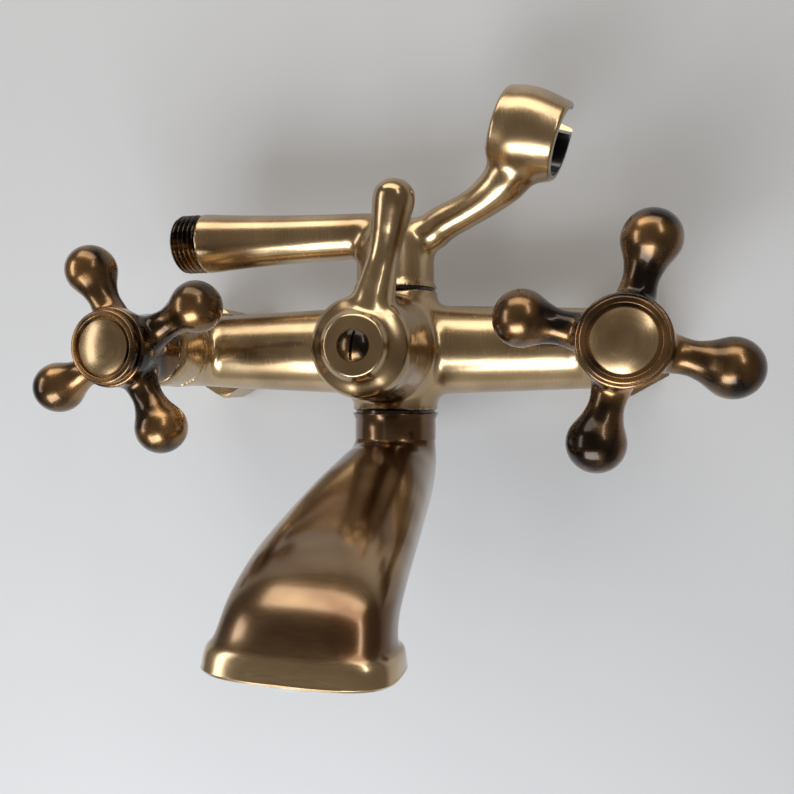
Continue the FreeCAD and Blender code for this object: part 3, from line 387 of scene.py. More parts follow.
def bent_bar(stations, sides=48):
    """A round bar with its own radius at each of several points."""
    clear_selection()
    bpy.ops.curve.primitive_bezier_curve_add(location=(0, 0, 0))
    piece = bpy.context.object
    line = piece.data
    line.splines.clear()
    spline = line.splines.new("BEZIER")
    spline.bezier_points.add(len(stations) - 1)
    for knot, (place, radius) in zip(spline.bezier_points, stations):
        knot.co = place
        knot.radius = radius
        knot.handle_left_type = knot.handle_right_type = "AUTO"
    spline.radius_interpolation = "BSPLINE"
    line.resolution_u = 16
    line.bevel_depth = 1.0
    line.bevel_resolution = sides // 4
    line.use_fill_caps = True
    line.dimensions = "3D"
    select_only(piece)
    bpy.ops.object.convert(target="MESH")
    return close_up(bpy.context.object)


def extruded(rings):
    """A closed solid extruded through rings that have the same number of points."""
    clear_selection()
    bpy.ops.mesh.primitive_circle_add(vertices=len(rings[0]), radius=1.0, fill_type="NGON",
                                      location=(0, 0, 0))
    piece = bpy.context.object
    for vertex, place in zip(piece.data.vertices, rings[0]):
        vertex.co = place
    bpy.ops.object.mode_set(mode="EDIT")
    for last, ring in zip(rings, rings[1:]):
        bpy.ops.mesh.extrude_region_move()
        mesh = bmesh.from_edit_mesh(piece.data)
        for vertex in [v for v in mesh.verts if v.select]:
            nearest = min(range(len(last)), key=lambda i: (last[i] - vertex.co).length_squared)
            vertex.co = ring[nearest]
        bmesh.update_edit_mesh(piece.data)
    return close_up(piece)


def thread(crest, root, start, end, origin, direction):
    """A helical ridge of a 55 degree pipe thread, closed at both ends."""
    clear_selection()
    bpy.ops.mesh.primitive_plane_add(size=1.0)
    piece = bpy.context.object
    flank = 0.42 * G_PITCH
    flat = 0.1 * G_PITCH
    outline = [(root, 0.0), (crest, flank), (crest, flank + flat), (root, 2 * flank + flat)]
    order = [0, 1, 3, 2]
    for index, (radius, along) in zip(order, outline):
        piece.data.vertices[index].co = (radius, 0, start + along)
    turns = int((end - start) / G_PITCH)
    apply_modifier(piece, "SCREW", axis="Z", angle=TURN, screw_offset=G_PITCH, iterations=turns,
                   steps=64, render_steps=64)
    bpy.ops.object.mode_set(mode="EDIT")
    bpy.ops.mesh.select_all(action="SELECT")
    bpy.ops.mesh.fill_holes(sides=8)
    close_up(piece)
    piece.rotation_euler = direction.to_track_quat("Z", "Y").to_euler()
    piece.location = origin
    return settle(piece)


def finished(piece, name, material, body, nodes, crease=38.0):
    """Names a piece, gives it its finish and its body, and hides the nodes it stands for."""
    select_only(piece)
    bpy.ops.object.shade_smooth_by_angle(angle=math.radians(crease))
    piece.name = name
    piece.data.name = name
    piece.data.materials.clear()
    piece.data.materials.append(material)
    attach(piece, body)
    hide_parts(*nodes)
    return piece


def repaint(piece, material, chosen):
    """Gives a second finish to the faces whose middles are chosen."""
    piece.data.materials.append(material)
    for face in piece.data.polygons:
        if chosen(face.center):
            face.material_index = 1


# ---- materials ------------------------------------------------------------------

def linear(code):
    """An sRGB hex value as linear colour."""
    parts = [int(code[i:i + 2], 16) / 255 for i in (1, 3, 5)]
    return tuple(p / 12.92 if p <= 0.04045 else ((p + 0.055) / 1.055) ** 2.4 for p in parts) + (1.0,)


def grey(value):
    return (value, value, value, 1.0)


def add(tree, kind, settings, links=None):
    """Adds a node with its settings, which are properties, sockets or a ramp's stops."""
    node = tree.nodes.new(kind)
    for key, value in settings.items():
        if key == "stops":
            ramp = node.color_ramp
            while len(ramp.elements) < len(value):
                ramp.elements.new(1.0)
            for element, (position, shade) in zip(ramp.elements, value):
                element.position = position
                element.color = shade
        elif isinstance(key, int) or key in node.inputs:
            node.inputs[key].default_value = value
        else:
            setattr(node, key, value)
    for key, socket in (links or {}).items():
        tree.links.new(socket, node.inputs[key])
    return node


def new_material(name):
    """An empty material, its node tree and each point's place in the frame's axes."""
    material = bpy.data.materials.new(name)
    material.use_nodes = True
    tree = material.node_tree
    tree.nodes.clear()
    return material, tree, add(tree, "ShaderNodeTexCoord", {}).outputs["Object"]


def wear_and_shade_zones(tree, place, way, stops):
    """How far the brown is worn off, by height or by distance from a valve, in mm; by height on the spout it also
    paints shade and a highlight.
    """
    parts = add(tree, "ShaderNodeSeparateXYZ", {}, {"Vector": place}).outputs
    reading = parts["Z"]
    if way == "from_valve":
        side = add(tree, "ShaderNodeMath", {"operation": "ABSOLUTE"}, {0: parts["X"]}).outputs["Value"]
        offset = add(tree, "ShaderNodeMath", {"operation": "SUBTRACT", 1: HALF_SPACING}, {0: side})
        flat = add(tree, "ShaderNodeCombineXYZ", {}, {"X": offset.outputs["Value"], "Y": parts["Z"]})
        reading = add(tree, "ShaderNodeVectorMath", {"operation": "LENGTH"},
                      {0: flat.outputs["Vector"]}).outputs["Value"]
    low, high = stops[0][0], stops[-1][0]
    scaled = add(tree, "ShaderNodeMapRange", {"From Min": low * MM, "From Max": high * MM},
                 {"Value": reading})
    ramp = [((at_mm - low) / (high - low), grey(worn)) for at_mm, worn in stops]
    return add(tree, "ShaderNodeValToRGB", {"stops": ramp},
               {"Fac": scaled.outputs["Result"]}).outputs["Color"]


def aged_brass(name, bright, dark, brush, rough, lacquer, worn, cloud_mm=22.0, patches=1.2, lines=1.0):
    """Antique brass: plated, browned in a bath, brushed back and lacquered.

    Brushing leaves fine lines and a satin spread of the highlights. The brown stays in
    clouds and where the brush could not reach, and the lacquer adds a tight second gloss.
    """
    material, tree, place = new_material(name)
    along = add(tree, "ShaderNodeMapping", {"Scale": brush}, {"Vector": place}).outputs["Vector"]
    strokes = add(tree, "ShaderNodeTexNoise", {"Scale": 1 / (0.28 * MM), "Detail": 2.0, "Roughness": 0.5},
                  {"Vector": along}).outputs["Fac"]
    clouds = add(tree, "ShaderNodeTexNoise", {"Scale": 1 / (cloud_mm * MM), "Detail": 2.0,
                                              "Roughness": 0.5, "Distortion": 0.5}, {"Vector": place})
    shape = add(tree, "ShaderNodeNewGeometry", {})
    edges = add(tree, "ShaderNodeMapRange",
                {"From Min": 0.3, "From Max": 0.7, "To Min": -0.3, "To Max": 0.25},
                {"Value": shape.outputs["Pointiness"]})
    spread = add(tree, "ShaderNodeMath", {"operation": "MULTIPLY_ADD", 1: patches, 2: -0.5 * patches},
                 {0: clouds.outputs["Fac"]})
    patchy = add(tree, "ShaderNodeMath", {"operation": "ADD", 1: worn if isinstance(worn, float) else 0.0},
                 {0: spread.outputs["Value"]})
    # when worn is a table of zones by height, as on the spout, its brown is painted shade and highlight as well as wear
    if not isinstance(worn, float):
        tree.links.new(wear_and_shade_zones(tree, place, *worn), patchy.inputs[1])
    share = add(tree, "ShaderNodeMath", {"operation": "ADD", "use_clamp": True},
                {0: patchy.outputs["Value"], 1: edges.outputs["Result"]})
    base = add(tree, "ShaderNodeMix", {"data_type": "RGBA", 6: linear(dark), 7: linear(bright)},
               {0: share.outputs["Value"]})
    streak = add(tree, "ShaderNodeMapRange", {"From Min": 0.3, "From Max": 0.7, "To Min": 1.0 - 0.05 * lines,
                                              "To Max": 1.0 + 0.03 * lines}, {"Value": strokes})
    toned = add(tree, "ShaderNodeHueSaturation", {},
                {"Color": base.outputs[2], "Value": streak.outputs["Result"]})
    gloss = add(tree, "ShaderNodeMapRange",
                {"From Min": 0.25, "From Max": 0.75, "To Min": rough - 0.04 * lines,
                                             "To Max": rough + 0.05 * lines}, {"Value": strokes})
    bump = add(tree, "ShaderNodeBump", {"Strength": 0.06 * lines, "Distance": 0.01 * MM}, {"Height": strokes})
    metal = add(tree, "ShaderNodeBsdfPrincipled",
                {"Metallic": 1.0, "Coat Weight": lacquer, "Coat Roughness": 0.14},
                {"Base Color": toned.outputs["Color"], "Roughness": gloss.outputs["Result"],
                 "Normal": bump.outputs["Normal"]})
    add(tree, "ShaderNodeOutputMaterial", {}, {"Surface": metal.outputs["BSDF"]})
    return material


def machined_metal(name, code, rough, pitch_mm):
    """Turned or rolled metal: a clear bright colour with fine tool lines."""
    material, tree, place = new_material(name)
    lines = add(tree, "ShaderNodeTexNoise", {"Scale": 1 / (pitch_mm * MM), "Detail": 2.0}, {"Vector": place})
    gloss = add(tree, "ShaderNodeMapRange", {"To Min": rough - 0.05, "To Max": rough + 0.1},
                {"Value": lines.outputs["Fac"]})
    shaded = [0.8 * c for c in linear(code)[:3]] + [1.0]
    base = add(tree, "ShaderNodeMix", {"data_type": "RGBA", 6: linear(code), 7: shaded},
               {0: lines.outputs["Fac"]})
    bump = add(tree, "ShaderNodeBump", {"Strength": 0.2, "Distance": 0.02 * MM},
               {"Height": lines.outputs["Fac"]})
    metal = add(tree, "ShaderNodeBsdfPrincipled", {"Metallic": 1.0},
                {"Base Color": base.outputs[2], "Roughness": gloss.outputs["Result"], "Normal": bump.outputs["Normal"]})
    add(tree, "ShaderNodeOutputMaterial", {}, {"Surface": metal.outputs["BSDF"]})
    return material


def moulded(name, code, rough, grain_mm, bump_mm, coat=0.0):
    """Moulded plastic, rubber or fired ceramic: one colour, a soft gloss and a faint skin."""
    material, tree, place = new_material(name)
    grain = add(tree, "ShaderNodeTexNoise", {"Scale": 1 / (grain_mm * MM), "Detail": 3.0}, {"Vector": place})
    gloss = add(tree, "ShaderNodeMapRange", {"To Min": rough - 0.05, "To Max": rough + 0.08},
                {"Value": grain.outputs["Fac"]})
    tone = add(tree, "ShaderNodeMapRange", {"To Min": 0.9, "To Max": 1.08}, {"Value": grain.outputs["Fac"]})
    base = add(tree, "ShaderNodeHueSaturation", {"Color": linear(code)}, {"Value": tone.outputs["Result"]})
    bump = add(tree, "ShaderNodeBump", {"Strength": 0.3, "Distance": bump_mm * MM},
               {"Height": grain.outputs["Fac"]})
    skin = add(tree, "ShaderNodeBsdfPrincipled", {"Coat Weight": coat, "Coat Roughness": 0.08},
               {"Base Color": base.outputs["Color"], "Roughness": gloss.outputs["Result"],
                "Normal": bump.outputs["Normal"]})
    add(tree, "ShaderNodeOutputMaterial", {}, {"Surface": skin.outputs["BSDF"]})
    return material


def painted_surface(name, code, one_sided):
    """Matt wall paint with the faint stipple of a roller. The wall is open from its back."""
    material, tree, place = new_material(name)
    stipple = add(tree, "ShaderNodeTexNoise", {"Scale": 1 / (3.0 * MM), "Detail": 2.0}, {"Vector": place})
    bump = add(tree, "ShaderNodeBump", {"Strength": 0.15, "Distance": 0.1 * MM},
               {"Height": stipple.outputs["Fac"]})
    paint = add(tree, "ShaderNodeBsdfPrincipled", {"Base Color": linear(code), "Roughness": 0.75},
                {"Normal": bump.outputs["Normal"]})
    seen = paint.outputs["BSDF"]
    if one_sided:
        shape = add(tree, "ShaderNodeNewGeometry", {})
        clear = add(tree, "ShaderNodeBsdfTransparent", {})
        seen = add(tree, "ShaderNodeMixShader", {}, {"Fac": shape.outputs["Backfacing"], 1: seen,
                                                     2: clear.outputs["BSDF"]}).outputs["Shader"]
    add(tree, "ShaderNodeOutputMaterial", {}, {"Surface": seen})
    return material


# mm above the bar axis, or from a valve's axis, and how far the brown is worn off there. On the spout the stops also
# paint light by height: the dark band 61 to 73 mm down is painted shade, and the light lip is partly wear, partly a
# painted highlight
SPOUT_WEAR_AND_SHADE = ((-81.0, 0.9), (-74.6, 0.85), (-73.2, 0.12), (-68.0, 0.0), (-61.0, 0.12), (-55.0, 0.36),
              (-48.0, 0.30), (-40.0, 0.18), (-29.0, 0.05))
HANDLE_WEAR = ((8.0, 0.7), (12.0, 0.45), (17.0, 0.12), (23.0, 0.35), (29.0, 0.5), (36.0, 0.02))
FINISH_MAKERS = {
    "bar_brass": lambda f: aged_brass("circumferentially_brushed_antique_brass", f.brass, f.patina,
                                      (1.0, 0.06, 0.06), 0.25, 0.35, 0.72, lines=0.6),
    "upright_brass": lambda f: aged_brass("upright_brushed_antique_brass", f.brass, f.patina,
                                          (1.0, 1.0, 0.06), 0.22, 0.4, 0.62, lines=0.5),
    # the spout's brown by height paints shade low on its front and a highlight on its lip
    "spout_brass": lambda f: aged_brass("cross_brushed_antique_brass", f.brass, f.patina,
                                        (0.06, 1.0, 1.0), 0.22, 0.8, ("height", SPOUT_WEAR_AND_SHADE), lines=0.8),
    "turned_antique_brass": lambda f: aged_brass("turned_antique_brass", f.brass, f.patina,
                                                 (0.06, 1.0, 0.06), 0.26, 0.35, 0.65, lines=0.6),
    "dark_brass": lambda f: aged_brass("dark_antique_brass", f.tan, f.deep, (0.4, 0.4, 0.4), 0.27, 0.5,
                                       ("from_valve", HANDLE_WEAR), 16.0, 3.2, 0.4),
    "bare_brass": lambda f: machined_metal("machined_brass", f.yellow, 0.25, 0.5),
    "steel": lambda f: machined_metal("rolled_stainless_steel", f.steel, 0.3, 0.4),
    "rubber": lambda f: moulded("nitrile_rubber", f.rubber, 0.6, 0.5, 0.02),
    "ceramic": lambda f: moulded("lapped_alumina", f.ceramic, 0.15, 1.0, 0.005, 0.3),
    "black": lambda f: moulded("black_acetal", f.black, 0.2, 1.5, 0.01, 0.5),
    "grey": lambda f: moulded("grey_acetal", f.grey, 0.4, 0.8, 0.02),
}
made = {}


def finish(key):
    """The material for one finish, made the first time that it is asked for."""
    if key not in made:
        made[key] = FINISH_MAKERS[key](bpy.context.scene.mixer_finishes)
    return made[key]


# ---- pieces ---------------------------------------------------------------------

class MIXER_OT_mixer_body(bpy.types.Operator):
    """Casts the body: the bar, its barrel and boss, the two valve housings and their spigots"""
    bl_idname = "mixer.mixer_body"
    bl_label = "Mixer body"
    bar_bore = 7.5 * MM
    upright_bore = 7.0 * MM
    seat_thread = 7.6 * MM
    bonnet_bore = 10.45 * MM
    bonnet_thread = 12.4 * MM
    valve_bore = 9.6 * MM
    spigot_bore = 6.8 * MM
    ring_groove = 8.9 * MM

    def execute(self, context):
        size = context.scene.mixer_body
        top = UPPER_SEAT - BAR.z
        bottom = LOWER_SEAT - BAR.z
        waist = 1.6 * MM
        shells = [
            lathe([(0, -HALF_SPACING), (size.bar_end, -HALF_SPACING), (size.bar_middle, 0),
                   (size.bar_end, HALF_SPACING), (0, HALF_SPACING)], BAR, RIGHT),
            lathe([(0, bottom), (size.neck, bottom)]
                  + flow([(size.neck_waist, bottom + waist), (0.86 * size.barrel, 0.62 * bottom),
                          (size.barrel, 0), (0.86 * size.barrel, 0.62 * top),
                          (size.neck_waist, top - waist)])
                  + [(size.neck, top), (0, top)], BAR, UP),
            lathe([(0, -0.9 * size.barrel), (0.8 * size.barrel, -0.5 * size.barrel),
                   (0.95 * size.barrel, 0), (size.boss + 1.5 * MM, 10 * MM),
                   (size.boss, size.boss_front), (0, size.boss_front)], BAR, OUT),
        ]
        for side in SIDES:
            shells.append(lathe([(0, -size.housing_rear), (size.housing, -size.housing_rear, 4 * MM),
                                 (size.housing, size.housing_front), (0, size.housing_front)],
                                VALVE[side], OUT))
            shells.append(rod(size.spigot, 0, SPIGOT_END - BAR.y, VALVE[side], WALLWARD))
        body = cast(shells, 0.6 * MM, size.fillet)
        cuts = [rod(self.bar_bore, -HALF_SPACING, HALF_SPACING, BAR, RIGHT),
                rod(self.upright_bore, bottom - MM, top + MM, BAR, UP),
                rod(G12_CREST, top - self.seat_thread, top + MM, BAR, UP),
                rod(G12_CREST, bottom - MM, bottom + self.seat_thread, BAR, UP),
                lathe([(0, -10 * MM), (self.bonnet_bore, -10 * MM), (self.bonnet_bore, 19 * MM),
                       (self.bonnet_thread, 19 * MM), (self.bonnet_thread, size.boss_front + MM),
                       (0, size.boss_front + MM)], BAR, OUT)]
        for side in SIDES:
            cuts.append(lathe([(0, -8.5 * MM), (self.valve_bore, -8.5 * MM), (self.valve_bore, 7 * MM),
                               (G12_CREST, 7 * MM),
                               (G12_CREST, size.housing_front + MM), (0, size.housing_front + MM)],
                              VALVE[side], OUT))
            cuts.append(rod(self.spigot_bore, 5 * MM, SPIGOT_END - BAR.y + MM, VALVE[side], WALLWARD))
            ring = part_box(f"snap_ring_{side}")
            cuts.append(lathe([(self.ring_groove, ring[0].y - BAR.y), (12 * MM, ring[0].y - BAR.y),
                               (12 * MM, ring[1].y - BAR.y), (self.ring_groove, ring[1].y - BAR.y)],
                              VALVE[side], WALLWARD))
        carve(body, *cuts)
        finished(body, "body_casting", finish("bar_brass"), "root", ["mixer_body"])
        return {"FINISHED"}


class MIXER_OT_union_nuts(bpy.types.Operator):
    """Makes the two hexagonal union nuts with their G3/4 threads"""
    bl_idname = "mixer.union_nuts"
    bl_label = "Union nuts"

    def execute(self, context):
        corner = NUT_FLATS / math.sqrt(3)
        start = NUT_FRONT - BAR.y
        end = NUT_BACK - BAR.y
        chamfer = 1.6 * MM
        spigot = context.scene.mixer_body.spigot + CLEAR
        web = start + 4 * MM
        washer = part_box("inlet_washer_left")[1].y - BAR.y
        for side in SIDES:
            nut = prism(NUT_FLATS, start, end, VALVE[side], WALLWARD)
            crown = lathe([(0, start), (corner - chamfer, start), (corner, start + 0.6 * chamfer),
                           (corner, end - 0.6 * chamfer), (corner - chamfer, end), (0, end)],
                          VALVE[side], WALLWARD)
            carve(nut, crown, operation="INTERSECT")
            carve(nut, rod(spigot, start - MM, web + MM, VALVE[side], WALLWARD),
                  rod(G34_CREST + 0.94 * MM, web, washer, VALVE[side], WALLWARD),
                  lathe([(0, washer - MM), (G34_CREST, washer - MM), (G34_CREST, end - MM),
                         (G34_CREST + 1.2 * MM, end + 0.2 * MM), (0, end + 0.2 * MM)],
                        VALVE[side], WALLWARD),
                  thread(G34_CREST - 0.2 * MM, G34_CREST + G_DEPTH, washer - 0.5 * MM, end + 2 * MM,
                         VALVE[side], WALLWARD))
            finished(nut, f"{side}_union_nut", finish("turned_antique_brass"), f"nut_{side}",
                     [f"union_nut_{side}"], 30)
        return {"FINISHED"}


class MIXER_OT_cover_sleeves(bpy.types.Operator):
    """Draws the thin sleeves that hide the valve headworks"""
    bl_idname = "mixer.cover_sleeves"
    bl_label = "Cover sleeves"

    def execute(self, context):
        size = context.scene.mixer_sleeve
        rear = context.scene.mixer_body.housing_front
        inner = size.radius - size.wall
        eye = 7.3 * MM
        for side in SIDES:
            sleeve = lathe([(inner, rear), (size.radius, rear, 0.25 * MM),
                            (size.radius, size.front, size.edge),
                            (eye, size.front), (eye, size.front - size.wall),
                            (inner, size.front - size.wall, size.edge - size.wall)], VALVE[side], OUT, 128)
            finished(sleeve, f"{side}_cover_sleeve", finish("turned_antique_brass"), "root",
                     [f"cover_sleeve_{side}"])
        return {"FINISHED"}


class MIXER_OT_cross_handles(bpy.types.Operator):
    """Casts the two cross handles, each arm a waisted club that ends in a ball"""
    bl_idname = "mixer.cross_handles"
    bl_label = "Cross handles"
    turns = {"left": 26.5, "right": -14.4}

    def arm(self, size, side, turn):
        throat = 0.8 * size.arm_root
        waist_at = 0.6 * size.ball_at
        outline = [(0, 0), (size.arm_root, 0)]
        outline += flow([(size.arm_root, 0.28 * size.ball_at), (throat, 0.42 * size.ball_at),
                         (size.arm_waist, waist_at), (0.68 * size.ball, 0.74 * size.ball_at),
                         (size.ball * math.sin(math.radians(120)),
                          size.ball_at + size.ball * math.cos(math.radians(120)))], 8)
        outline += arc(size.ball, size.ball_at, 112, 0, 24)
        direction = Vector((math.cos(turn), 0, math.sin(turn)))
        return lathe(outline, VALVE[side] + OUT * size.arm_plane, direction, 80)

    def execute(self, context):
        size = context.scene.mixer_handle
        web = 47.9 * MM
        middle = 0.5 * (size.rear + size.front)
        for side in SIDES:
            centre = VALVE[side]
            hub = lathe([(0, size.rear), (size.rear_radius, size.rear, 0.5 * MM)]
                        + flow([(size.rear_radius, size.rear + MM), (size.waist, middle - 2 * MM),
                                (size.rim, size.front - 4.6 * MM)])
                        + [(size.rim, size.front, 0.7 * MM), (0, size.front)], centre, OUT)
            arms = [self.arm(size, side, math.radians(self.turns[side] + 90 * i)) for i in range(4)]
            handle = cast([hub, *arms], 0.42 * MM, 3.6 * MM)
            carve(handle, rod(8.6 * MM, size.rear - MM, size.rear + 3.6 * MM, centre, OUT),
                  rod(SPINDLE_BORE, size.rear, 45.9 * MM, centre, OUT),
                  rod(SHANK_HOLE, 45 * MM, web + MM, centre, OUT),
                  rod(9.0 * MM, web, size.front + MM, centre, OUT))
            finished(handle, f"{side}_cross_handle", finish("dark_brass"), f"handle_{side}",
                     [f"cross_handle_{side}"], 45)
        return {"FINISHED"}


class MIXER_OT_index_caps(bpy.types.Operator):
    """Turns the caps that close the hubs, each with a groove round a domed button"""
    bl_idname = "mixer.index_caps"
    bl_label = "Index caps"

    def execute(self, context):
        size = context.scene.mixer_handle
        seat = 9.0 * MM
        groove = size.button + 0.9 * MM
        floor = size.cap_front - 0.9 * MM
        edge = size.cap_front - 0.5 * MM
        for side in SIDES:
            cap = lathe([(0, size.front), (seat - 2 * MM, size.front), (seat - 2 * MM, size.front - 3 * MM),
                         (seat, size.front - 3 * MM, 0.3 * MM), (seat, size.front),
                         (size.cap, size.front, 0.4 * MM),
                         (size.cap, size.cap_front, 0.8 * MM), (groove, size.cap_front, 0.25 * MM),
                         (groove, floor), (size.button, floor), (size.button, edge)]
                        + dome(size.button, edge, 1.5 * MM, 16), VALVE[side], OUT, 128)
            finished(cap, f"{side}_index_cap", finish("dark_brass"), f"handle_{side}",
                     [f"index_cap_{side}"])
            repaint(cap, finish("turned_antique_brass"),
                    lambda middle: (middle - VALVE[side]).xz.length < size.button - 0.3 * MM)
        return {"FINISHED"}


class MIXER_OT_diverter_lever(bpy.types.Operator):
    """Casts the diverter's bell and its bent lever, and turns the slotted screw"""
    bl_idname = "mixer.diverter_lever"
    bl_label = "Diverter lever and screw"
    tilt = math.radians(13.5)
    screw_turn = math.radians(8)
    # along the lever, in front of the bar axis and radius, in mm
    bend = ((6.0, 36.6, 7.2), (14.0, 36.2, 6.7), (21.0, 35.7, 5.4), (27.5, 35.5, 4.6), (34.0, 36.2, 5.1),
            (40.0, 37.4, 6.2))

    def station(self, along, forward):
        return at(forward, along * math.sin(self.tilt), along * math.cos(self.tilt))

    def execute(self, context):
        size = context.scene.mixer_lever
        middle = (size.rear + size.front) / 2
        bell = lathe([(0, size.rear)]
                     + flow([(size.rear_radius, size.rear), (size.rear_radius - 0.4 * MM, size.rear + 3 * MM),
                             ((size.rear_radius + size.face) / 2 + 2.3 * MM, middle + MM),
                             (size.face + 1.6 * MM, size.front - 2.6 * MM), (size.face, size.front)])
                     + [(0, size.front)], BAR, OUT)
        knob = self.station(43.6 * MM, 38 * MM)
        lever = bent_bar([(self.station(along * MM, forward * MM), radius * MM)
                          for along, forward, radius in self.bend] + [(knob, size.ball)])
        ball = lathe(arc(size.ball, 0, 180, 0, 32), knob, UP, 64)
        handle = cast([bell, lever, ball], 0.4 * MM, 3.4 * MM)
        seat = size.front - 0.7 * MM
        web = size.front - 9 * MM
        inner = size.rear_radius - 2.6 * MM
        carve(handle,
              lathe([(0, size.rear - 8 * MM), (size.rear_radius + CLEAR, size.rear - 8 * MM),
                     (size.rear_radius + CLEAR, size.rear), (inner, size.rear),
                     (inner - 2 * MM, web), (0, web)],
                    BAR, OUT),
              rod(SPINDLE_BORE, web - MM, seat - 2 * MM, BAR, OUT),
              rod(SHANK_HOLE, web, seat + MM, BAR, OUT),
              rod(size.screw + CLEAR, seat, size.front + MM, BAR, OUT))
        finished(handle, "diverter_handle", finish("upright_brass"), "diverter", ["diverter_lever"],
                 40)
        reach = seat - 14 * MM
        screw = lathe([(0, reach), (2.5 * MM, reach, 0.5 * MM), (2.5 * MM, seat), (size.screw, seat),
                       (size.screw, seat + 0.5 * MM)]
                      + dome(size.screw, seat + 0.5 * MM, 1.7 * MM, 12), BAR, OUT)
        clear_selection()
        bpy.ops.mesh.primitive_cube_add(size=1.0)
        slot = context.object
        slot.scale = (size.slot, 2.8 * MM, 3 * size.screw)
        slot.rotation_euler = (0, self.screw_turn, 0)
        slot.location = BAR + OUT * (seat + 0.8 * MM + 1.4 * MM)
        carve(screw, settle(slot))
        finished(screw, "lever_slotted_screw", finish("dark_brass"), "diverter", ["lever_screw"],
                 30)
        return {"FINISHED"}


class MIXER_OT_shower_arm(bpy.types.Operator):
    """Casts the shower arm: its neck, the hose tube with its thread, and the handset holder"""
    bl_idname = "mixer.shower_arm"
    bl_label = "Shower arm and holder"
    yaw = math.radians(9)
    slot_lift = math.radians(63)
    # out along the holder arm, height above the bar axis and radius, in mm
    bend = ((3.0, 37.2, 7.2), (11.4, 38.4, 6.7), (17.6, 41.9, 5.9), (24.8, 45.0, 5.55),
            (32.1, 48.8, 5.9), (38.2, 53.6, 7.6), (44.0, 60.0, 8.6))

    def slot_cutter(self, width, inner):
        """A round-edged block where the hose passes into the holder."""
        back = HOLDER_AXIS.cross(UP).normalized() * -1.0
        upward = back.cross(HOLDER_AXIS).normalized() * -1.0
        outward = back * math.cos(self.slot_lift) + upward * math.sin(self.slot_lift)
        across = outward.cross(HOLDER_AXIS)
        clear_selection()
        bpy.ops.mesh.primitive_cube_add(size=1.0)
        cutter = bpy.context.object
        cutter.scale = (width, 2 * inner, 6 * HOLDER_HALF)
        bpy.ops.object.transform_apply(location=False, rotation=False, scale=True)
        turn = Matrix((across, outward, HOLDER_AXIS)).transposed().to_4x4()
        cutter.matrix_world = Matrix.Translation(HOLDER_AT + outward * inner) @ turn
        return settle(cutter)

    def execute(self, context):
        size = context.scene.mixer_arm
        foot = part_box("shower_arm")[0].z - BAR.z
        bore = MOUNT["handset_holder"]["dims"]["r_mm"] * MM + size.liner
        neck = lathe([(0, foot), (size.collar, foot, 0.3 * MM), (size.neck, foot + 2.4 * MM),
                       (size.neck, size.shoulder)]
                      + dome(size.neck, size.shoulder, size.top - size.shoulder, 24), BAR, UP)
        tube_from = BAR + UP * size.tube_height
        reach = tube_from.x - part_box("shower_arm")[0].x
        tube_end = reach - 10 * MM
        tube = lathe([(0, 0)] + flow([(7.4 * MM, 0), (8.3 * MM, 35 * MM), (9.4 * MM, 56 * MM),
                                      (size.tube_end, tube_end)])
                     + [(0, tube_end)], tube_from, LEFT)
        out_along = Vector((math.cos(self.yaw), -math.sin(self.yaw), 0))
        arm = bent_bar([(BAR + (out_along * out + UP * up) * MM, radius * MM)
                        for out, up, radius in self.bend])
        left = bore + size.left_wall
        right = bore + size.right_wall
        crown = bore + size.crown_wall
        cup = lathe([(0, -HOLDER_HALF), (left - 0.8 * MM, -HOLDER_HALF)]
                    + flow([(left, -HOLDER_HALF + 0.9 * MM), (crown, -0.3 * HOLDER_HALF),
                            (crown - 0.5 * MM, 0.25 * HOLDER_HALF), (right, HOLDER_HALF - 0.5 * MM)])
                    + [(right - 0.4 * MM, HOLDER_HALF), (0, HOLDER_HALF)], HOLDER_AT, HOLDER_AXIS)
        casting = cast([neck, tube, arm, cup], 0.5 * MM, 5.0 * MM)
        core = G12_CREST - G_DEPTH
        tail = lathe([(0, tube_end - 3 * MM), (core, tube_end - 3 * MM), (core, reach, 0.4 * MM), (0, reach)],
                     tube_from, LEFT)
        ridge = thread(G12_CREST, core - 0.3 * MM, tube_end - 2 * MM, reach + 3 * MM, tube_from, LEFT)
        envelope = lathe([(0, tube_end + MM), (G12_CREST - 0.6 * MM, tube_end + MM),
                          (G12_CREST, tube_end + 1.8 * MM), (G12_CREST, reach - 1.2 * MM),
                          (core + 0.1 * MM, reach), (0, reach)], tube_from, LEFT)
        carve(ridge, envelope, operation="INTERSECT")
        carve(casting, tail, ridge, operation="UNION")
        carve(casting,
              rod(bore, -2 * HOLDER_HALF, 2 * HOLDER_HALF, HOLDER_AT, HOLDER_AXIS),
              self.slot_cutter(size.slot, crown),
              rod(SWIVEL_BORE, foot - MM, UPPER_SEAT - BAR.z + SWIVEL_DEPTH, BAR, UP),
              rod(6.0 * MM, UPPER_SEAT - BAR.z + 15 * MM, size.tube_height, BAR, UP),
              rod(6.0 * MM, 0, reach + MM, tube_from, LEFT))
        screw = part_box("shower_set_screw")
        hole = Vector((BAR.x, BAR.y, (screw[0].z + screw[1].z) / 2))
        carve(casting, rod(SET_SCREW_HOLE, SWIVEL_BORE - MM, size.neck + 3 * MM, hole, WALLWARD, 32))
        finished(casting, "shower_arm_casting", finish("bar_brass"), "shower", ["shower_arm"],
                 45)
        repaint(casting, finish("dark_brass"), lambda middle: BAR.x - middle.x > tube_end + 0.1 * MM)
        inner = bore - size.liner
        liner = lathe([(inner, -HOLDER_HALF, 0.3 * MM), (inner, HOLDER_HALF, 0.3 * MM),
                       (bore, HOLDER_HALF), (bore, -HOLDER_HALF)], HOLDER_AT, HOLDER_AXIS)
        carve(liner, self.slot_cutter(size.slot, crown))
        finished(liner, "holder_bush", finish("black"), "shower", ["holder_liner"], 30)
        return {"FINISHED"}


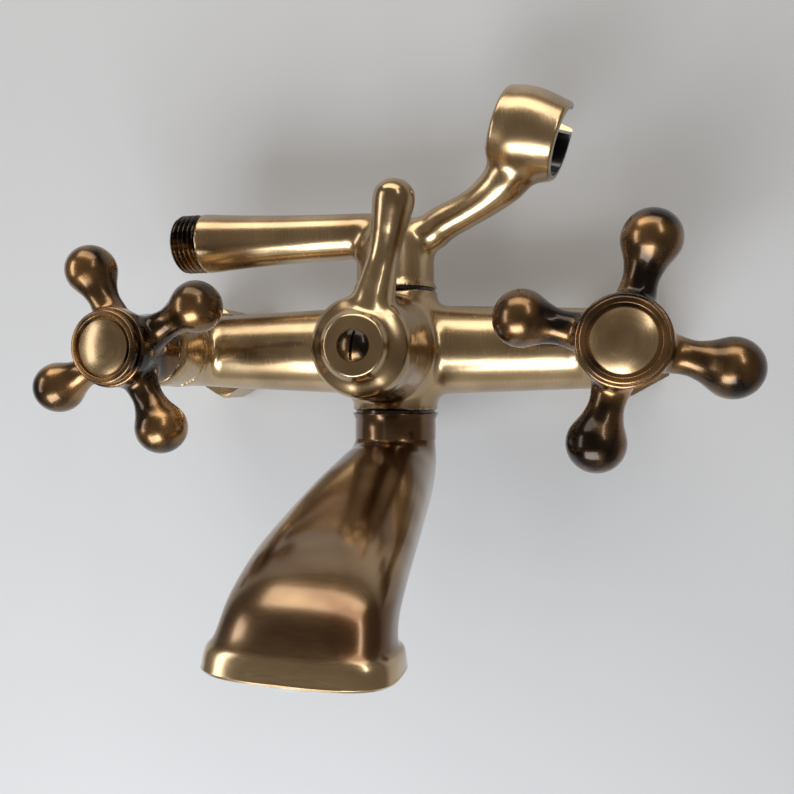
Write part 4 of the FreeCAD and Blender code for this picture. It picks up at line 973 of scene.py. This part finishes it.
class MIXER_OT_spout(bpy.types.Operator):
    """Casts the duckbill spout and the aerator's shell in its mouth"""
    bl_idname = "mixer.spout"
    bl_label = "Spout and aerator"
    squareness = 3.2
    # in front of the neck axis, below the bar axis, half width, half thickness in mm,
    # and the section's lean in degrees
    sections = ((0.0, 26.5, 13.4, 13.4, 0.0), (0.4, 31.0, 13.6, 13.6, 4.0), (3.6, 36.6, 14.6, 14.2, 24.0),
                (14.0, 42.4, 16.2, 13.2, 52.0), (30.0, 47.4, 18.2, 11.6, 66.0), (48.0, 53.4, 20.0, 10.6, 62.0),
                (64.0, 59.6, 21.2, 10.8, 50.0), (76.0, 66.6, 21.9, 11.8, 28.0), (81.2, 73.0, 22.8, 12.6, 8.0),
                (82.2, 75.2, 24.5, 13.8, 0.0), (82.6, 80.0, 25.2, 14.4, 0.0))

    def rings(self, shrink, floor, points=96):
        """Rings of points round the spout, each a squared ellipse that leans forward."""
        last = len(self.sections) - 1
        rings = []
        for index, row in enumerate(flow([Vector(s) for s in self.sections], 8)):
            forward, depth, wide, thick, lean = row
            power = 2 / (2 + (self.squareness - 2) * index / (8 * last))
            tip = math.radians(lean)
            toward = Vector((0, -math.cos(tip), math.sin(tip)))
            centre = at(forward * MM, 0, -min(depth, floor) * MM)
            ring = []
            for i in range(points):
                c, s = math.cos(TURN * i / points), math.sin(TURN * i / points)
                across = (wide - shrink) * MM * math.copysign(abs(s) ** power, s)
                ahead = (thick - shrink) * MM * math.copysign(abs(c) ** power, c)
                ring.append(centre + RIGHT * across + toward * ahead)
            rings.append(ring)
        return rings

    def execute(self, context):
        size = context.scene.mixer_spout
        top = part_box("spout")[1].z - BAR.z
        rings = self.rings(0.0, 80.0)
        mouth = rings.pop()
        middle = sum(mouth, Vector()) / len(mouth)
        rings.append([p + UP * 0.5 * MM for p in mouth])
        rings.append([middle + (p - middle) * 0.985 for p in mouth])
        casting = extruded(rings)
        neck = lathe([(0, -top), (size.collar, -top, 0.3 * MM), (size.neck, -top + 2.2 * MM),
                      (size.neck, size.neck_end, 0.4 * MM), (0, size.neck_end)], BAR, DOWN, 128)
        carve(casting, neck, operation="UNION")
        hollow = extruded(self.rings(size.wall / MM, 76.0))
        outlet = at(size.outlet, 0, 0)
        depth = BAR.z - MOUTH
        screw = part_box("spout_set_screw")
        hole = Vector((BAR.x, BAR.y, (screw[0].z + screw[1].z) / 2))
        carve(casting, hollow,
              rod(SWIVEL_BORE, -top - MM, BAR.z - LOWER_SEAT + SWIVEL_DEPTH, BAR, DOWN),
              rod(size.aerator, depth - 8 * MM, depth + MM, outlet, DOWN),
              rod(SET_SCREW_HOLE, 9 * MM, size.neck + 3 * MM, hole, WALLWARD, 32))
        finished(casting, "spout_casting", finish("spout_brass"), "spout_swivel", ["spout"],
                 40)
        shell_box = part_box("aerator_shell")
        shell_from = BAR.z - shell_box[1].z
        shell_to = BAR.z - shell_box[0].z
        inner = size.aerator - MM
        shell = lathe([(inner, shell_from), (size.aerator - 0.02 * MM, shell_from, 0.2 * MM),
                       (size.aerator - 0.02 * MM, shell_to, 0.35 * MM), (inner, shell_to, 0.2 * MM)],
                      outlet, DOWN)
        finished(shell, "aerator_ring", finish("grey"), "spout_swivel", ["aerator_shell"],
                 30)
        return {"FINISHED"}


class MIXER_OT_inner_finishes(bpy.types.Operator):
    """Gives the frame's own inner pieces their finishes"""
    bl_idname = "mixer.inner_finishes"
    bl_label = "Inner pieces"
    finishes = {"bare_brass": "bare_brass", "spring_steel": "steel", "rubber": "rubber", "ceramic": "ceramic",
                "black_plastic": "black", "grey_plastic": "grey", "antique_brass": "turned_antique_brass",
                "dark_antique_brass": "dark_brass", "plated_brass": "turned_antique_brass"}

    def execute(self, context):
        slots = {part["node"]: part["material_slot"] for part in frame["record"]["subparts"]}
        for name, node in frame["nodes"].items():
            if node.hide_render:
                continue
            select_only(node)
            node.data.materials.clear()
            node.data.materials.append(finish(self.finishes[slots[name]]))
        clear_selection()
        return {"FINISHED"}


class MIXER_OT_stage(bpy.types.Operator):
    """Sets up the wall, the floor, the soft lights and the camera"""
    bl_idname = "mixer.stage"
    bl_label = "Stage"
    # name, azimuth and elevation in degrees, distance, size, brightness and tint
    lamps = (("front_low_softbox", -12, -46, 0.62, (0.50, 0.30), 8.6, (0.94, 0.97, 1.0)),
             ("left_softbox", -55, 6, 0.7, (0.16, 0.5), 4.0, (1.0, 1.0, 1.0)),
             ("right_window", 38, 30, 0.7, (0.05, 0.35), 8.0, (1.0, 1.0, 1.0)),
             ("ceiling", -8, 66, 0.9, (1.1, 0.42), 3.2, (1.0, 0.95, 0.87)))

    def plane(self, name, size, place, turn, code, one_sided):
        clear_selection()
        bpy.ops.mesh.primitive_plane_add(size=size)
        plane = bpy.context.object
        plane.name = name
        plane.rotation_euler = turn
        plane.location = place
        settle(plane)
        plane.data.materials.append(painted_surface(name, code, one_sided))

    def softbox(self, name, azimuth, elevation, distance, size, brightness, tint):
        """A rectangular lamp seen from the mixer at an azimuth to the right and an elevation."""
        target = BAR + Vector((0, -0.03, 0))
        turn = math.radians(azimuth)
        lift = math.radians(elevation)
        way = Vector((math.sin(turn) * math.cos(lift), -math.cos(turn) * math.cos(lift), math.sin(lift)))
        light = bpy.data.lights.new(name, "AREA")
        light.shape = "RECTANGLE"
        light.size = size[0]
        light.size_y = size[1]
        light.energy = brightness * math.pi * size[0] * size[1]
        light.color = tint
        lamp = bpy.data.objects.new(name, light)
        bpy.context.collection.objects.link(lamp)
        lamp.location = target + way * distance
        lamp.rotation_euler = way.to_track_quat("Z", "Y").to_euler()

    def execute(self, context):
        colours = context.scene.mixer_finishes
        floor_at = -0.7
        wall_at = 0.0015
        side = 3.0
        self.plane("wall", side, (0, wall_at, floor_at + side / 2), (math.pi / 2, 0, 0), colours.wall, True)
        self.plane("floor", side, (0, wall_at - side / 2, floor_at), (0, 0, 0), colours.floor, False)
        for lamp in self.lamps:
            self.softbox(*lamp)
        world = bpy.data.worlds.new("studio")
        world.use_nodes = True
        glow = world.node_tree.nodes["Background"].inputs
        glow["Color"].default_value = (1.0, 0.86, 0.73, 1)
        glow["Strength"].default_value = 0.19
        context.scene.world = world
        context.scene.view_settings.view_transform = "Standard"
        lens = bpy.data.cameras.new("camera")
        lens.lens = 36.12
        lens.sensor_width = 36.0
        lens.clip_start = 0.01
        camera = bpy.data.objects.new("camera", lens)
        context.collection.objects.link(camera)
        camera.location = (0.07438, -0.29891, -0.00888)
        camera.rotation_euler = Euler([math.radians(a) for a in (88.510, 0.057, 15.698)])
        context.scene.camera = camera
        return {"FINISHED"}


class MIXER_PT_panel(bpy.types.Panel):
    """Lists the pieces in the order that they are made"""
    bl_idname = "MIXER_PT_panel"
    bl_label = "Bath mixer"
    bl_space_type = "VIEW_3D"
    bl_region_type = "UI"
    bl_category = "Mixer"

    def draw(self, context):
        for key, (_, group) in SETTINGS.items():
            box = self.layout.box()
            box.label(text=group)
            for name in SETTINGS[key][0].__annotations__:
                box.prop(getattr(context.scene, key), name)
        for step in STEPS:
            self.layout.operator(step.bl_idname)


SETTINGS = {
    "mixer_body": (MixerBodySizes, "Body"), "mixer_sleeve": (MixerSleeveSizes, "Sleeves"),
    "mixer_handle": (MixerHandleSizes, "Handles"), "mixer_lever": (MixerLeverSizes, "Diverter lever"),
    "mixer_arm": (MixerArmSizes, "Shower arm"), "mixer_spout": (MixerSpoutSizes, "Spout"),
    "mixer_finishes": (MixerFinishes, "Finishes"),
}
STEPS = (MIXER_OT_stage, MIXER_OT_mixer_body, MIXER_OT_union_nuts, MIXER_OT_cover_sleeves,
         MIXER_OT_cross_handles, MIXER_OT_index_caps, MIXER_OT_diverter_lever, MIXER_OT_shower_arm,
         MIXER_OT_spout, MIXER_OT_inner_finishes)


def register():
    for key, (group, _) in SETTINGS.items():
        bpy.utils.register_class(group)
        setattr(bpy.types.Scene, key, PointerProperty(type=group))
    for step in STEPS:
        bpy.utils.register_class(step)
    bpy.utils.register_class(MIXER_PT_panel)


def unregister():
    bpy.utils.unregister_class(MIXER_PT_panel)
    for step in reversed(STEPS):
        bpy.utils.unregister_class(step)
    for key, (group, _) in SETTINGS.items():
        delattr(bpy.types.Scene, key)
        bpy.utils.unregister_class(group)


def main():
    register()
    for step in STEPS:
        space, name = step.bl_idname.split(".")
        getattr(getattr(bpy.ops, space), name)()
    clear_selection()


if __name__ == "__main__":
    main()
